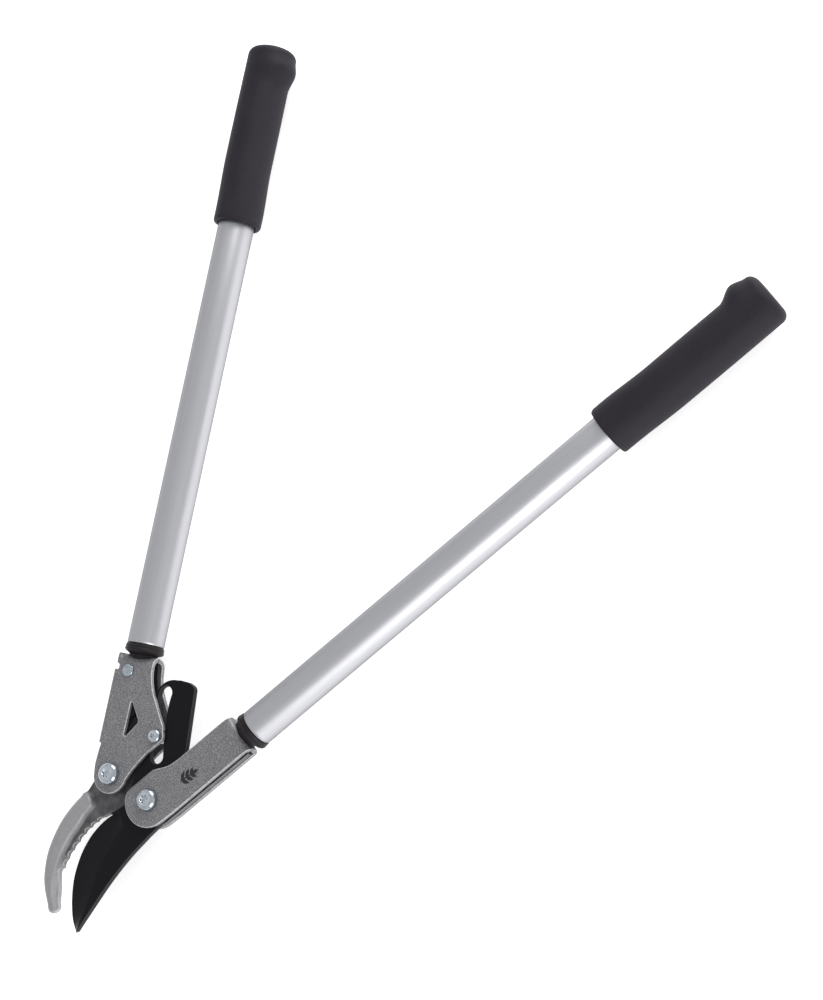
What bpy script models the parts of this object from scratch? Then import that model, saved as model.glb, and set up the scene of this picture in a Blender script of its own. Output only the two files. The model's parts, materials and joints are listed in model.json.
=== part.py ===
"""Bypass pruning shears with long handles and a slotted-lever drive.

The hook (counter-blade) is fixed between the plates of the right handle. The left handle turns on the
hook at one pivot and the blade at another. A roller on the left handle runs in a curved slot in the
blade's tail, so closing the handles swings the blade past the hook.

Everything is drawn in a tool frame in millimetres: X to the right, Y from the jaws to the handles along
the line that halves the angle between the handles, Z out of the front face, with the origin on the
blade pivot at the mid-plane. Each handle has its own frame on its pivot, turned so that Y runs up the
handle. A last step moves everything so that the object's box stands on the origin.
"""
import math

import bmesh
import bpy
from mathutils import Matrix, Vector

MM = 0.001                       # the drawing unit, in metres
GAP = 0.3                        # clearance between neighbours that touch

# --- the mechanism ------------------------------------------------------------------------------
HALF_SPREAD = 21.85              # each handle's angle from the line between them, degrees
BLADE_PIVOT = (0.0, 0.0)
HOOK_PIVOT = (-35.9, -1.9)
ROLLER_AT = (-19.8, 36.6)        # the roller's place in the drawn pose
BLADE_TURN = 0.6                 # the blade turns this much for each degree of the left handle
CLOSING = -20.0                  # the left handle's travel from the drawn pose, degrees
OPENING = 65.0
SLOT_OVERRUN = 1.8               # extra handle travel cut into each end of the slot, degrees

# --- the layers, measured from the mid-plane ------------------------------------------------------
BLADE_LOW, BLADE_HIGH = 0.15, 4.15
HOOK_LOW, HOOK_HIGH = -4.15, -0.15
JAW_HIGH = 3.9                   # the hook's jaw rises beside the blade
PLATE_IN, PLATE_OUT = 4.45, 7.45

# --- the handles ------------------------------------------------------------------------------------
TUBE_R, TUBE_WALL = 12.5, 1.5
TUBE_START, TUBE_END = 88.3, 505.0
GRIP_START, GRIP_END = 385.0, 515.0
GRIP_R = 17.15
LEFT_TUBE_X, RIGHT_TUBE_X = 1.27, 7.25
CURL_START, CURL_R = 73.5, 7.3   # the plates' ends curl in round this radius, towards the neck
COLLAR_START, COLLAR_END, COLLAR_R = 83.5, 88.0, 13.2
NECK_Z = 5.6                     # half the neck's height

# --- the hardware ------------------------------------------------------------------------------------
BOLT_R, BOLT_HEAD_R, BOLT_HEAD = 4.0, 7.4, 4.4
WASHER_R, WASHER = 8.5, 1.5
NUT_ACROSS, NUT = 13.0, 7.5
SCREW_R, SCREW_HEAD_R, SCREW_HEAD = 2.5, 4.75, 3.0
SHOULDER_R = 3.1             # the guide screw's plain length, which the roller turns on
SMALL_NUT_ACROSS, SMALL_NUT = 8.0, 5.0
ROLLER_R = 4.4
BUSH_R = 6.3
RIVET_AT = (-3.0, 69.4)          # in the left handle's frame
RIVET_R, RIVET_HEAD_R, RIVET_HEAD = 3.2, 4.2, 0.9
SPACER_R = 6.5

LEFT_LOBE_R, RIGHT_LOBE_R, GUIDE_LOBE_R = 13.0, 18.0, 6.1


# --- scene ------------------------------------------------------------------------------------------
for old in list(bpy.data.objects):
    bpy.data.objects.remove(old)

parts = bpy.data.collections.new("pruning_shears")
cutters = bpy.data.collections.new("cutters")
for collection in (parts, cutters):
    bpy.context.scene.collection.children.link(collection)


def material(name, colour, roughness, metallic):
    """A plain Principled material."""
    mat = bpy.data.materials.new(name)
    mat.use_nodes = True
    shader = mat.node_tree.nodes["Principled BSDF"]
    shader.inputs["Base Color"].default_value = (*colour, 1.0)
    shader.inputs["Roughness"].default_value = roughness
    shader.inputs["Metallic"].default_value = metallic
    return mat


def empty(name, at, turn, parent=None):
    """A frame on a pivot: everything under it is drawn from there."""
    frame = bpy.data.objects.new(name, None)
    frame.location = (at[0] * MM, at[1] * MM, 0.0)
    frame.rotation_euler = (0.0, 0.0, math.radians(turn))
    frame.parent = parent
    parts.objects.link(frame)
    return frame


# --- outlines ---------------------------------------------------------------------------------------
def arc(centre, radius, start, end, steps):
    """Points on an arc from one angle to another, in degrees, both ends included."""
    angles = [math.radians(start + (end - start) * i / steps) for i in range(steps + 1)]
    return [(centre[0] + radius * math.cos(a), centre[1] + radius * math.sin(a)) for a in angles]


def circle(centre, radius, steps=24):
    return arc(centre, radius, 0.0, 360.0, steps)[:-1]


def through(points, steps):
    """A smooth curve through the points: each span is a cubic whose end slopes follow its neighbours."""
    ends = [_mirror(points[0], points[1])] + list(points) + [_mirror(points[-1], points[-2])]
    line = []
    for a, b, c, d in zip(ends, ends[1:], ends[2:], ends[3:]):
        for i in range(steps):
            t = i / steps
            line.append(tuple(
                0.5 * (2 * q + (r - p) * t + (2 * p - 5 * q + 4 * r - s) * t * t
                       + (3 * q - p - 3 * r + s) * t ** 3)
                for p, q, r, s in zip(a, b, c, d)))
    return line + [tuple(points[-1])]


def _mirror(end, inner):
    return tuple(2 * e - i for e, i in zip(end, inner))


def rounded(corners, steps=5):
    """An outline from (x, y, radius) corners, each turned into an arc of that radius."""
    outline = []
    count = len(corners)
    for i, (x, y, radius) in enumerate(corners):
        here = Vector((x, y))
        back = (Vector(corners[i - 1][:2]) - here).normalized()
        ahead = (Vector(corners[(i + 1) % count][:2]) - here).normalized()
        half = back.angle(ahead) / 2
        if radius <= 0.0 or half > math.radians(89.0):
            outline.append((x, y))
            continue
        reach = radius / math.tan(half)
        centre = here + (back + ahead).normalized() * (radius / math.sin(half))
        first = here + back * reach - centre
        sweep = first.angle_signed(here + ahead * reach - centre)
        for k in range(steps + 1):
            spoke = first.copy()
            spoke.rotate(Matrix.Rotation(-sweep * k / steps, 2))
            outline.append(tuple(centre + spoke))
    return outline


def turned(point, degrees, pivot=(0.0, 0.0)):
    """A point turned about a pivot."""
    a = math.radians(degrees)
    x, y = point[0] - pivot[0], point[1] - pivot[1]
    return (pivot[0] + x * math.cos(a) - y * math.sin(a), pivot[1] + x * math.sin(a) + y * math.cos(a))


def from_right(x, y):
    """A point of the right handle's frame, in the tool frame."""
    return turned((x, y), -HALF_SPREAD)


def to_left(point):
    """A point of the tool frame, in the left handle's frame."""
    return turned((point[0] - HOOK_PIVOT[0], point[1] - HOOK_PIVOT[1]), -HALF_SPREAD)


# --- solids -----------------------------------------------------------------------------------------
def finish(obj, parent, mat, home=parts):
    """Puts an object in its frame and collection, with its material."""
    obj.parent = parent
    if mat is not None and not obj.data.materials:
        obj.data.materials.append(mat)
    home.objects.link(obj)
    if home is cutters:
        obj.hide_render = True
        obj.display_type = "WIRE"
    return obj


def extruded(name, loops, low, high, parent, mat=None, home=parts, turn=(0, 0, 0), at=(0, 0, 0)):
    """A flat outline, with its holes, given a thickness from low to high; then turned and moved."""
    curve = bpy.data.curves.new(name, "CURVE")
    curve.dimensions = "2D"
    curve.fill_mode = "BOTH"
    curve.extrude = (high - low) / 2 * MM
    for loop in loops:
        spline = curve.splines.new("POLY")
        spline.points.add(len(loop) - 1)
        for point, (x, y) in zip(spline.points, loop):
            point.co = (x * MM, y * MM, 0.0, 1.0)
        spline.use_cyclic_u = True
    flat = bpy.data.objects.new(name, curve)
    bpy.context.scene.collection.objects.link(flat)
    mesh = bpy.data.meshes.new_from_object(flat.evaluated_get(bpy.context.evaluated_depsgraph_get()))
    bpy.data.objects.remove(flat)
    bpy.data.curves.remove(curve)
    spin = Matrix.Rotation(math.radians(turn[2]), 4, "Z") @ Matrix.Rotation(math.radians(turn[0]), 4, "X")
    mesh.transform(Matrix.Translation(Vector(at) * MM) @ spin
                   @ Matrix.Translation((0.0, 0.0, (low + high) / 2 * MM)))
    weld(mesh)
    mesh.name = name
    return finish(bpy.data.objects.new(name, mesh), parent, mat, home)


def weld(mesh):
    bm = bmesh.new()
    bm.from_mesh(mesh)
    bmesh.ops.remove_doubles(bm, verts=bm.verts, dist=1e-6)
    bmesh.ops.recalc_face_normals(bm, faces=bm.faces)
    bm.to_mesh(mesh)
    bm.free()


def lathe(name, profile, parent, mat, at=(0.0, 0.0), steps=24, lying=False, closed=False):
    """A turned piece: (radius, height) points, running down the outer side, spun about the axis."""
    mesh = bpy.data.meshes.new(name)
    edges = [(i, i + 1) for i in range(len(profile) - 1)]
    if closed:
        edges.append((len(profile) - 1, 0))
    mesh.from_pydata([(r * MM, 0.0, z * MM) for r, z in profile], edges, [])
    obj = finish(bpy.data.objects.new(name, mesh), parent, mat)
    obj.location = (at[0] * MM, at[1] * MM, 0.0)
    if lying:
        obj.rotation_euler = (math.radians(-90.0), 0.0, 0.0)
    spin = obj.modifiers.new("turn", "SCREW")
    spin.steps = spin.render_steps = steps
    spin.use_merge_vertices = True
    spin.merge_threshold = 0.00001
    return obj


def lofted(name, rings, parent, mat=None, home=parts):
    """One closed body through rings of equal length, with a flat cap on the first and the last."""
    bm = bmesh.new()
    rows = [[bm.verts.new(Vector(p) * MM) for p in ring] for ring in rings]
    size = len(rings[0])
    for low, high in zip(rows, rows[1:]):
        for i in range(size):
            bm.faces.new((low[i], low[(i + 1) % size], high[(i + 1) % size], high[i]))
    bm.faces.new(rows[0][::-1])
    bm.faces.new(rows[-1])
    bmesh.ops.recalc_face_normals(bm, faces=bm.faces)
    mesh = bpy.data.meshes.new(name)
    bm.to_mesh(mesh)
    bm.free()
    return finish(bpy.data.objects.new(name, mesh), parent, mat, home)


def boolean(obj, tool, operation):
    step = obj.modifiers.new(operation.lower(), "BOOLEAN")
    step.operation = operation
    step.object = tool
    step.solver = "EXACT"


# --- materials --------------------------------------------------------------------------------------
COATED = material("coated_steel", (0.20, 0.20, 0.21), 0.45, 0.75)
CAST = material("cast_steel", (0.30, 0.30, 0.30), 0.50, 0.80)
BLADE_COAT = material("blade_coating", (0.020, 0.018, 0.021), 0.35, 0.0)
ALUMINIUM = material("satin_aluminium", (0.60, 0.60, 0.62), 0.35, 1.0)
ZINC = material("zinc_plate", (0.55, 0.58, 0.62), 0.25, 1.0)
GRIP = material("grip_rubber", (0.030, 0.026, 0.034), 0.70, 0.0)
INSERT = material("black_plastic", (0.030, 0.025, 0.028), 0.50, 0.0)
BRONZE = material("bush_bronze", (0.45, 0.33, 0.20), 0.40, 1.0)

# --- frames -----------------------------------------------------------------------------------------
tool = empty("tool", BLADE_PIVOT, 0.0)
left = empty("left_handle_frame", HOOK_PIVOT, HALF_SPREAD, tool)
right = empty("right_handle_frame", BLADE_PIVOT, -HALF_SPREAD, tool)
blade_frame = empty("blade_frame", BLADE_PIVOT, 0.0, tool)


# --- handles ----------------------------------------------------------------------------------------
def handle(side, parent, axis_x, bump_side):
    """A tube and its grip, along the handle's Y axis at axis_x."""
    inner = TUBE_R - TUBE_WALL
    wall = [(inner, TUBE_START), (inner, TUBE_END), (TUBE_R, TUBE_END), (TUBE_R, TUBE_START)]
    lathe(f"{side}_tube", wall, parent, ALUMINIUM, (axis_x, 0.0), 32, lying=True, closed=True)

    def ring(radius, y, bump=0.0):
        points = []
        for i in range(24):
            a = 2 * math.pi * i / 24
            lobe = max(0.0, bump_side * math.cos(a)) ** 2
            r = radius + bump * lobe
            points.append((axis_x + r * math.cos(a), y, r * math.sin(a)))
        return points

    bore, lip = TUBE_R + GAP, GRIP_START
    rings = [ring(bore, TUBE_END + GAP), ring(bore, lip + 1.0), ring(bore + 1.0, lip)]
    rings += [ring(GRIP_R + 0.6, lip), ring(GRIP_R + 1.8, lip + 2.5), ring(GRIP_R + 1.2, lip + 12.0)]
    rings += [ring(GRIP_R, lip + 35.0), ring(GRIP_R, GRIP_END - 28.0)]
    for back, bump in ((23.0, 0.9), (18.0, 2.8), (14.0, 3.5), (9.0, 3.4), (5.0, 2.8)):
        rings.append(ring(GRIP_R, GRIP_END - back, bump))
    rings += [ring(GRIP_R - 0.8, GRIP_END - 2.2, 1.8), ring(GRIP_R - 3.0, GRIP_END, 0.6)]
    lofted(f"{side}_grip", rings, parent, GRIP)


def insert(side, parent, axis_x, block, neck_x, neck_half, block_low):
    """The plastic plug: a block between the plates, an oval neck, a collar and a spigot in the tube."""
    spigot = TUBE_R - TUBE_WALL - GAP

    def ring(cx, rx, rz, y):
        return [(cx + rx * math.cos(a), y, rz * math.sin(a))
                for a in (2 * math.pi * i / 28 for i in range(28))]

    root = CURL_START - 2.5
    rings = [ring(neck_x, neck_half - 0.5, PLATE_IN - GAP - 0.2, root)]
    rings += [ring(neck_x, neck_half - 0.5, PLATE_IN - GAP - 0.2, CURL_START)]
    rings += [ring(neck_x, neck_half, 4.0, CURL_START + 1.2), ring(neck_x, neck_half, 4.0, 77.4)]
    rings += [ring(neck_x, neck_half, NECK_Z, 81.2), ring(neck_x, neck_half, NECK_Z, COLLAR_START - 0.4)]
    rings += [ring(axis_x, COLLAR_R - 0.6, COLLAR_R - 0.6, COLLAR_START)]
    rings += [ring(axis_x, COLLAR_R, COLLAR_R, COLLAR_START + 0.8), ring(axis_x, COLLAR_R, COLLAR_R, 87.4)]
    rings += [ring(axis_x, COLLAR_R - 0.6, COLLAR_R - 0.6, COLLAR_END), ring(axis_x, spigot, spigot, COLLAR_END)]
    rings += [ring(axis_x, spigot, spigot, 110.0), ring(axis_x, spigot - 2.0, spigot - 2.0, 112.0)]
    plug = lofted(f"{side}_insert", rings, parent, INSERT)
    body = extruded(f"{side}_insert_block", [block], block_low, PLATE_IN - GAP, parent, home=cutters)
    boolean(plug, body, "UNION")
    return plug


def sheet_end(outer):
    """The whole section's outline: both plates and both curls, or the room between them."""
    inset = 0.0 if outer else PLATE_OUT - PLATE_IN
    half = PLATE_OUT - inset
    radius = CURL_R - inset
    flat = half - radius
    reach = -40.0
    return ([(reach, -half)] + arc((CURL_START, -flat), radius, -90.0, 0.0, 7)
            + arc((CURL_START, flat), radius, 0.0, 90.0, 7) + [(reach, half)])


def edge_on(name, loop, width, parent):
    """A section drawn along the handle (Y) and up (Z), extruded across it (X)."""
    return extruded(name, [loop], -width, width, parent, home=cutters, turn=(90, 0, 90))


def neck_hole(name, parent, centre, half):
    """The oval opening in the curled end."""
    hole = [(centre + (half + GAP) * math.cos(a), (NECK_Z + GAP) * math.sin(a))
            for a in (2 * math.pi * i / 28 for i in range(28))]
    return extruded(name, [hole], -6.0, 7.3, parent, home=cutters, turn=(90, 0, 0), at=(0, 82.5, 0))


# --- left bracket -----------------------------------------------------------------------------------
def left_bracket():
    """One folded plate: front and rear plates joined by a web on the outer side, with curled ends."""
    guide = to_left(ROLLER_AT)
    edge = -12.0
    web = -16.0
    outline = arc((0.0, 0.0), LEFT_LOBE_R, 180.0, 360.0, 16)
    outline += [to_left(p) for p in ((-22.3, 10.1), (-20.1, 20.1), (-18.3, 26.0))]
    outline += arc(guide, GUIDE_LOBE_R, -22.0, 92.0, 8)
    outline += [to_left(p) for p in ((-25.7, 49.1), (-39.3, 60.5), (-45.7, 67.3), (-48.9, 72.5))]
    outline += [(15.3, CURL_START + CURL_R - 3.0), (14.3, CURL_START + CURL_R + 1.0)]
    outline += [(-12.9, CURL_START + CURL_R + 1.0), (-12.9, 73.2), (-11.2, 73.2), (-11.2, 69.3)]
    outline += [(web, 69.3), (web, 19.1), (edge, 19.1), (edge, 14.5)]
    holes = [circle((0.0, 0.0), BOLT_R + GAP), circle(guide, SCREW_R + GAP, 16)]
    holes.append(circle(RIVET_AT, RIVET_R + GAP, 16))
    bracket = extruded("left_bracket", [outline] + holes, -PLATE_OUT - 2.0, PLATE_OUT + 2.0, left, COATED)

    boolean(bracket, edge_on("left_bracket_end", sheet_end(True), 60.0, left), "INTERSECT")
    bend_r = 4.0
    over = 2.0
    for side in (-1, 1):
        bend = [(web + bend_r - x, side * (PLATE_OUT - bend_r + y))
                for x, y in arc((0.0, 0.0), bend_r, 0.0, 90.0, 6)]
        corner = [(web - over, bend[0][1]), *bend, (bend[-1][0], side * (PLATE_OUT + over)),
                  (web - over, side * (PLATE_OUT + over))]
        cutter = extruded(f"left_bracket_bend_{side}", [corner], -140.0, 140.0, left, home=cutters,
                          turn=(90, 0, 0))
        boolean(bracket, cutter, "DIFFERENCE")
    room = extruded("left_bracket_room", [sheet_end(False)], web + 2.9, 60.0, left, home=cutters,
                    turn=(90, 0, 90))
    boolean(bracket, room, "DIFFERENCE")
    window = rounded([(*to_left((-50.8, 47.0)), 0.8), (*to_left((-36.8, 37.5)), 2.5),
                      (*to_left((-41.0, 21.7)), 1.2)])
    boolean(bracket, extruded("window", [window], 3.0, 9.0, left, home=cutters), "DIFFERENCE")
    boolean(bracket, neck_hole("left_neck_hole", left, LEFT_TUBE_X, 11.0), "DIFFERENCE")


# --- right bracket ----------------------------------------------------------------------------------
def right_bracket(name, side):
    """One of two separate plates with the same outline; side is 1 at the front and -1 at the rear."""
    top = CURL_START + CURL_R + 1.0
    outline = arc((0.0, 0.0), RIGHT_LOBE_R, -174.0, 0.0, 18)
    outline += [(18.4, 8.0), (18.4, top), (-8.2, top), (-8.5, 72.0), (-8.5, 33.0)]
    outline += through([(-9.0, 27.3), (-10.2, 22.3), (-13.1, 16.4), (-16.2, 10.9), (-17.8, 4.6)], 2)
    low, high = sorted((side * GAP / 2, side * (PLATE_OUT + 2.0)))
    plate = extruded(name, [outline, circle((0.0, 0.0), BOLT_R + GAP)], low, high, right, COATED)
    boolean(plate, edge_on(f"{name}_end", sheet_end(True), 60.0, right), "INTERSECT")
    boolean(plate, edge_on(f"{name}_room", sheet_end(False), 60.0, right), "DIFFERENCE")
    boolean(plate, neck_hole(f"{name}_neck_hole", right, 6.1, 10.1), "DIFFERENCE")


# --- hook -------------------------------------------------------------------------------------------
JAW_BACK = [(-49.0, -23.0), (-51.9, -34.9), (-53.4, -47.0), (-52.8, -58.9), (-50.0, -70.9),
            (-44.7, -81.6), (-36.0, -93.6), (-31.4, -100.1)]
JAW_TIP, JAW_TIP_R = (-27.2, -97.3), 5.3
JAW_THROAT = [(-35.4, -46.5), (-33.8, -41.3), (-31.6, -34.0), (-28.2, -28.6), (-24.0, -24.4)]
TOOTH_PEAKS = [(-36.2, -78.5), (-35.9, -73.5), (-36.9, -66.8), (-36.9, -60.1), (-36.2, -53.4),
               (-35.4, -46.5)]
TOOTH_DEPTH = 1.2
STEP_GAP = 1.3                   # the raised jaw stands this far outside the shut blade's edge


def teeth():
    """The sap grooves along the hook's inner edge: a scallop between each pair of peaks."""
    line = []
    for a, b in zip(TOOTH_PEAKS, TOOTH_PEAKS[1:]):
        for t in (0.0, 0.25, 0.5, 0.75):
            dip = TOOTH_DEPTH * math.sin(math.pi * t)
            line.append((a[0] + (b[0] - a[0]) * t - dip, a[1] + (b[1] - a[1]) * t))
    return line


def hook():
    """A flat body that carries both pivots and the arm in the right bracket, and a raised jaw."""
    lobe = RIGHT_LOBE_R - 0.2
    arm_end, arm_x = CURL_START + 0.6, -1.0
    back = through(JAW_BACK, 3)
    tip = arc(JAW_TIP, JAW_TIP_R, -146.0, 20.0, 9)
    outline = back[:-1] + tip + [(-27.0, -92.3), (-32.6, -83.8)] + teeth()
    outline += through(JAW_THROAT, 2) + [(-14.0, -17.6)]
    outline += arc((0.0, 0.0), lobe, -115.0, -HALF_SPREAD, 8)
    strip_x, root = 16.2, CURL_START - 3.1
    outline += [from_right(lobe, arm_end), from_right(strip_x, arm_end), from_right(strip_x, root)]
    outline += [from_right(arm_x, root), from_right(arm_x, 31.0)]
    outline += through([from_right(-2.5, 25.0), from_right(-6.5, 20.0), (-9.0, 14.6)], 2)
    outline += arc(HOOK_PIVOT, LEFT_LOBE_R, 80.0, 180.0, 8)
    outline += [(-49.0, -17.0)]
    holes = [circle(HOOK_PIVOT, BOLT_R + GAP), circle(BLADE_PIVOT, BOLT_R + GAP)]
    body = extruded("hook", [outline] + holes, HOOK_LOW, HOOK_HIGH, tool, CAST)

    shut = through([turned(p, BLADE_TURN * CLOSING) for p in BLADE_EDGE[3:]][::-1], 2)
    step = []
    for a, b in zip(shut, shut[1:]):
        along = (Vector(b) - Vector(a)).normalized()
        step.append(tuple(Vector(a) + Vector((-along.y, along.x)) * STEP_GAP))
    step = step[1:-1] + through([(-39.6, -36.0), (-38.4, -29.0), (-39.5, -25.2), (-43.0, -23.2)], 2)
    raised = [(x + 0.01, y) for x, y in back[:-1]] + arc(JAW_TIP, JAW_TIP_R - 0.01, -146.0, -62.0, 5) + step
    jaw = extruded("raised_jaw", [raised], HOOK_LOW + 0.8, JAW_HIGH, tool, home=cutters)
    boolean(body, jaw, "UNION")


# --- blade ------------------------------------------------------------------------------------------
BLADE_EDGE = [(-20.0, -20.0), (-25.3, -30.7), (-28.2, -42.0), (-28.6, -52.0), (-27.4, -61.5),
              (-23.7, -73.5), (-17.6, -84.5), (-8.9, -95.2), (-0.4, -101.3)]
BLADE_SPINE = [(1.2, -99.3), (2.0, -88.0), (4.0, -61.3), (7.3, -40.0), (12.0, -21.3), (15.3, -10.0),
               (16.4, -2.0), (15.4, 9.0), (11.0, 25.0), (3.3, 42.7)]
BLADE_RIDGE = [(-8.6, -26.0), (-8.6, -40.0), (-8.4, -54.0), (-6.0, -65.5), (-1.8, -83.0), (1.0, -99.0)]
EDGE_THICK = 0.35
SLOT_RIM = 3.8


def roller_path(degrees):
    """Where the roller is, seen from the blade, once the left handle has turned by this much."""
    return turned(turned(ROLLER_AT, degrees, HOOK_PIVOT), -BLADE_TURN * degrees)


def slot():
    """The roller's path, widened to the roller's radius and a running gap."""
    half = ROLLER_R + GAP
    first, last = CLOSING - SLOT_OVERRUN, OPENING + SLOT_OVERRUN
    steps = 18
    turns = [first + (last - first) * i / steps for i in range(steps + 1)]
    path = [Vector(roller_path(t)) for t in turns]
    sides = []
    for i, point in enumerate(path):
        along = (path[min(i + 1, steps)] - path[max(i - 1, 0)]).normalized()
        sides.append((point, Vector((-along.y, along.x)) * half))
    left_wall = [tuple(p + s) for p, s in sides]
    right_wall = [tuple(p - s) for p, s in sides]
    start = math.degrees(math.atan2(sides[0][1].y, sides[0][1].x))
    end = math.degrees(math.atan2(-sides[-1][1].y, -sides[-1][1].x))
    near = arc(tuple(path[0]), half, start, start + 180.0, 12)
    far = arc(tuple(path[-1]), half, end, end + 180.0, 12)
    return near[1:] + right_wall[1:] + far[1:] + left_wall[-2:0:-1]


def blade():
    """A flat blade with its tail and slot, ground from the front down to the cutting edge."""
    rim = ROLLER_R + GAP + SLOT_RIM
    rim_points = []
    for degrees in (-20.0, -10.0, 5.0, 20.0, 35.0, 48.0):
        here, ahead = Vector(roller_path(degrees)), Vector(roller_path(degrees + 1.0))
        along = (ahead - here).normalized()
        rim_points.append(tuple(here + Vector((-along.y, along.x)) * rim))
    outline = through(BLADE_EDGE, 4) + through(BLADE_SPINE, 3)
    outline += arc((-17.0, 73.4), 4.6, 28.0, 88.0, 4) + [(-19.9, 78.0), (-23.6, 76.9), (-27.0, 75.8)]
    outline += arc((-24.4, 61.2), 14.2, 106.0, 186.0, 8)
    outline += rim_points[::-1] + [(-21.2, 12.0), (-20.2, 5.0), (-17.4, -4.0), (-15.6, -9.0), (-16.4, -13.5)]
    body = extruded("blade", [outline, slot(), circle(BLADE_PIVOT, BUSH_R + GAP)], BLADE_LOW, BLADE_HIGH,
                    blade_frame, BLADE_COAT)

    edge = through(BLADE_EDGE[1:], 3)
    ridge = through(BLADE_RIDGE, 6)
    stations = 16
    rings = []
    for i in range(stations + 1):
        e = _along(edge, i / stations)
        r = _along(ridge, i / stations)
        e3 = Vector((e[0], e[1], BLADE_LOW + EDGE_THICK))
        r3 = Vector((r[0], r[1], BLADE_HIGH))
        out = (e3 - r3) * 0.25
        top = BLADE_HIGH + 4.0
        low, high = e3 + out, r3 - out * 0.3
        rings.append([tuple(low), tuple(high), (high.x, high.y, top), (low.x - 3.0, low.y - 1.0, top)])
    boolean(body, lofted("grind", rings, blade_frame, home=cutters), "DIFFERENCE")


def _along(line, part):
    """The point a given part of the way along a list of points."""
    place = part * (len(line) - 1)
    i = min(int(place), len(line) - 2)
    t = place - i
    return tuple(p + (q - p) * t for p, q in zip(line[i], line[i + 1]))


# --- hardware ---------------------------------------------------------------------------------------
def lobed_socket(radius, steps=36):
    """A six-lobed driver socket."""
    return [(radius * (1.0 + 0.13 * math.cos(6 * a)) * math.cos(a),
             radius * (1.0 + 0.13 * math.cos(6 * a)) * math.sin(a))
            for a in (2 * math.pi * i / steps for i in range(steps))]


def screw(name, at, parent, shank, head_r, head, end, shoulder=None):
    """A button-head screw from the front: domed head, shank, and a socket in the head."""
    seat = PLATE_OUT + GAP
    top = seat + head
    dome = [(0.0, top), (head_r * 0.45, top), (head_r * 0.72, top - head * 0.14),
            (head_r * 0.92, top - head * 0.42), (head_r, top - head * 0.78), (head_r, seat), (shank, seat)]
    if shoulder:
        dome += [(shank, PLATE_IN - GAP), (shoulder, PLATE_IN - GAP), (shoulder, -PLATE_IN + GAP),
                 (shank, -PLATE_IN + GAP)]
    dome += [(shank, end + 0.6), (shank - 0.6, end), (0.0, end)]
    body = lathe(name, dome, parent, ZINC, at)
    recess = extruded(f"{name}_socket", [lobed_socket(head_r * 0.42)], top - head * 0.55, top + 1.0, parent,
                      home=cutters, at=(at[0], at[1], 0))
    boolean(body, recess, "DIFFERENCE")


def lock_nut(name, at, parent, hole, across, height, top):
    """A hexagon nut with a round collar at its outer end."""
    hexagon = circle((0.0, 0.0), across / math.sqrt(3.0), 6)
    nut = extruded(name, [hexagon, circle((0.0, 0.0), hole + GAP, 16)], top - height * 0.7, top, parent, ZINC,
                   at=(at[0], at[1], 0))
    collar = extruded(f"{name}_collar", [circle((0.0, 0.0), across * 0.46), circle((0.0, 0.0), hole + GAP, 16)],
                      top - height, top - height * 0.5, parent, home=cutters, at=(at[0], at[1], 0))
    boolean(nut, collar, "UNION")


def ring(name, at, parent, mat, inner, outer, low, high, steps=24):
    """A plain ring: a washer, a bush, a spacer or a roller."""
    section = [(outer, high), (outer, low), (inner, low), (inner, high)]
    lathe(name, section, parent, mat, at, steps, closed=True)


def pivot(kind, at, parent):
    """An M8 pivot: button-head screw, washer and lock nut."""
    washer_top = -PLATE_OUT - GAP
    nut_top = washer_top - WASHER - GAP
    screw(f"{kind}_screw", at, parent, BOLT_R, BOLT_HEAD_R, BOLT_HEAD, nut_top - NUT + 0.6)
    ring(f"{kind}_washer", at, parent, ZINC, BOLT_R + GAP, WASHER_R, washer_top - WASHER, washer_top)
    lock_nut(f"{kind}_nut", at, parent, BOLT_R, NUT_ACROSS, NUT, nut_top)


def hardware():
    pivot("blade_pivot", BLADE_PIVOT, right)
    ring("blade_bush", BLADE_PIVOT, blade_frame, BRONZE, BOLT_R + GAP, BUSH_R, BLADE_LOW, BLADE_HIGH)
    pivot("hook_pivot", (0.0, 0.0), left)
    ring("hook_pivot_spacer", (0.0, 0.0), left, ZINC, BOLT_R + GAP, SPACER_R, BLADE_LOW, BLADE_HIGH)

    guide = to_left(ROLLER_AT)
    nut_top = -PLATE_OUT - GAP
    screw("guide_screw", guide, left, SCREW_R, SCREW_HEAD_R, SCREW_HEAD, nut_top - SMALL_NUT + 0.5, SHOULDER_R)
    ring("guide_roller", guide, left, ZINC, SHOULDER_R + GAP, ROLLER_R, -PLATE_IN + GAP, PLATE_IN - GAP)
    lock_nut("guide_nut", guide, left, SCREW_R, SMALL_NUT_ACROSS, SMALL_NUT, nut_top)

    head = PLATE_OUT + GAP
    profile = [(0.0, head + 0.2), (1.8, head + 0.2), (3.2, head + RIVET_HEAD), (RIVET_HEAD_R, head + 0.5)]
    profile += [(RIVET_HEAD_R, head), (RIVET_R, head), (RIVET_R, -head), (RIVET_HEAD_R, -head)]
    profile += [(RIVET_HEAD_R, -head - 0.5), (3.2, -head - RIVET_HEAD), (0.0, -head - RIVET_HEAD)]
    lathe("insert_rivet", profile, left, ZINC, RIVET_AT, 20)


def rivet_bore(plug):
    hole = extruded("rivet_bore", [circle(RIVET_AT, RIVET_R + GAP, 16)], -9.0, 9.0, left, home=cutters)
    boolean(plug, hole, "DIFFERENCE")


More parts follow.
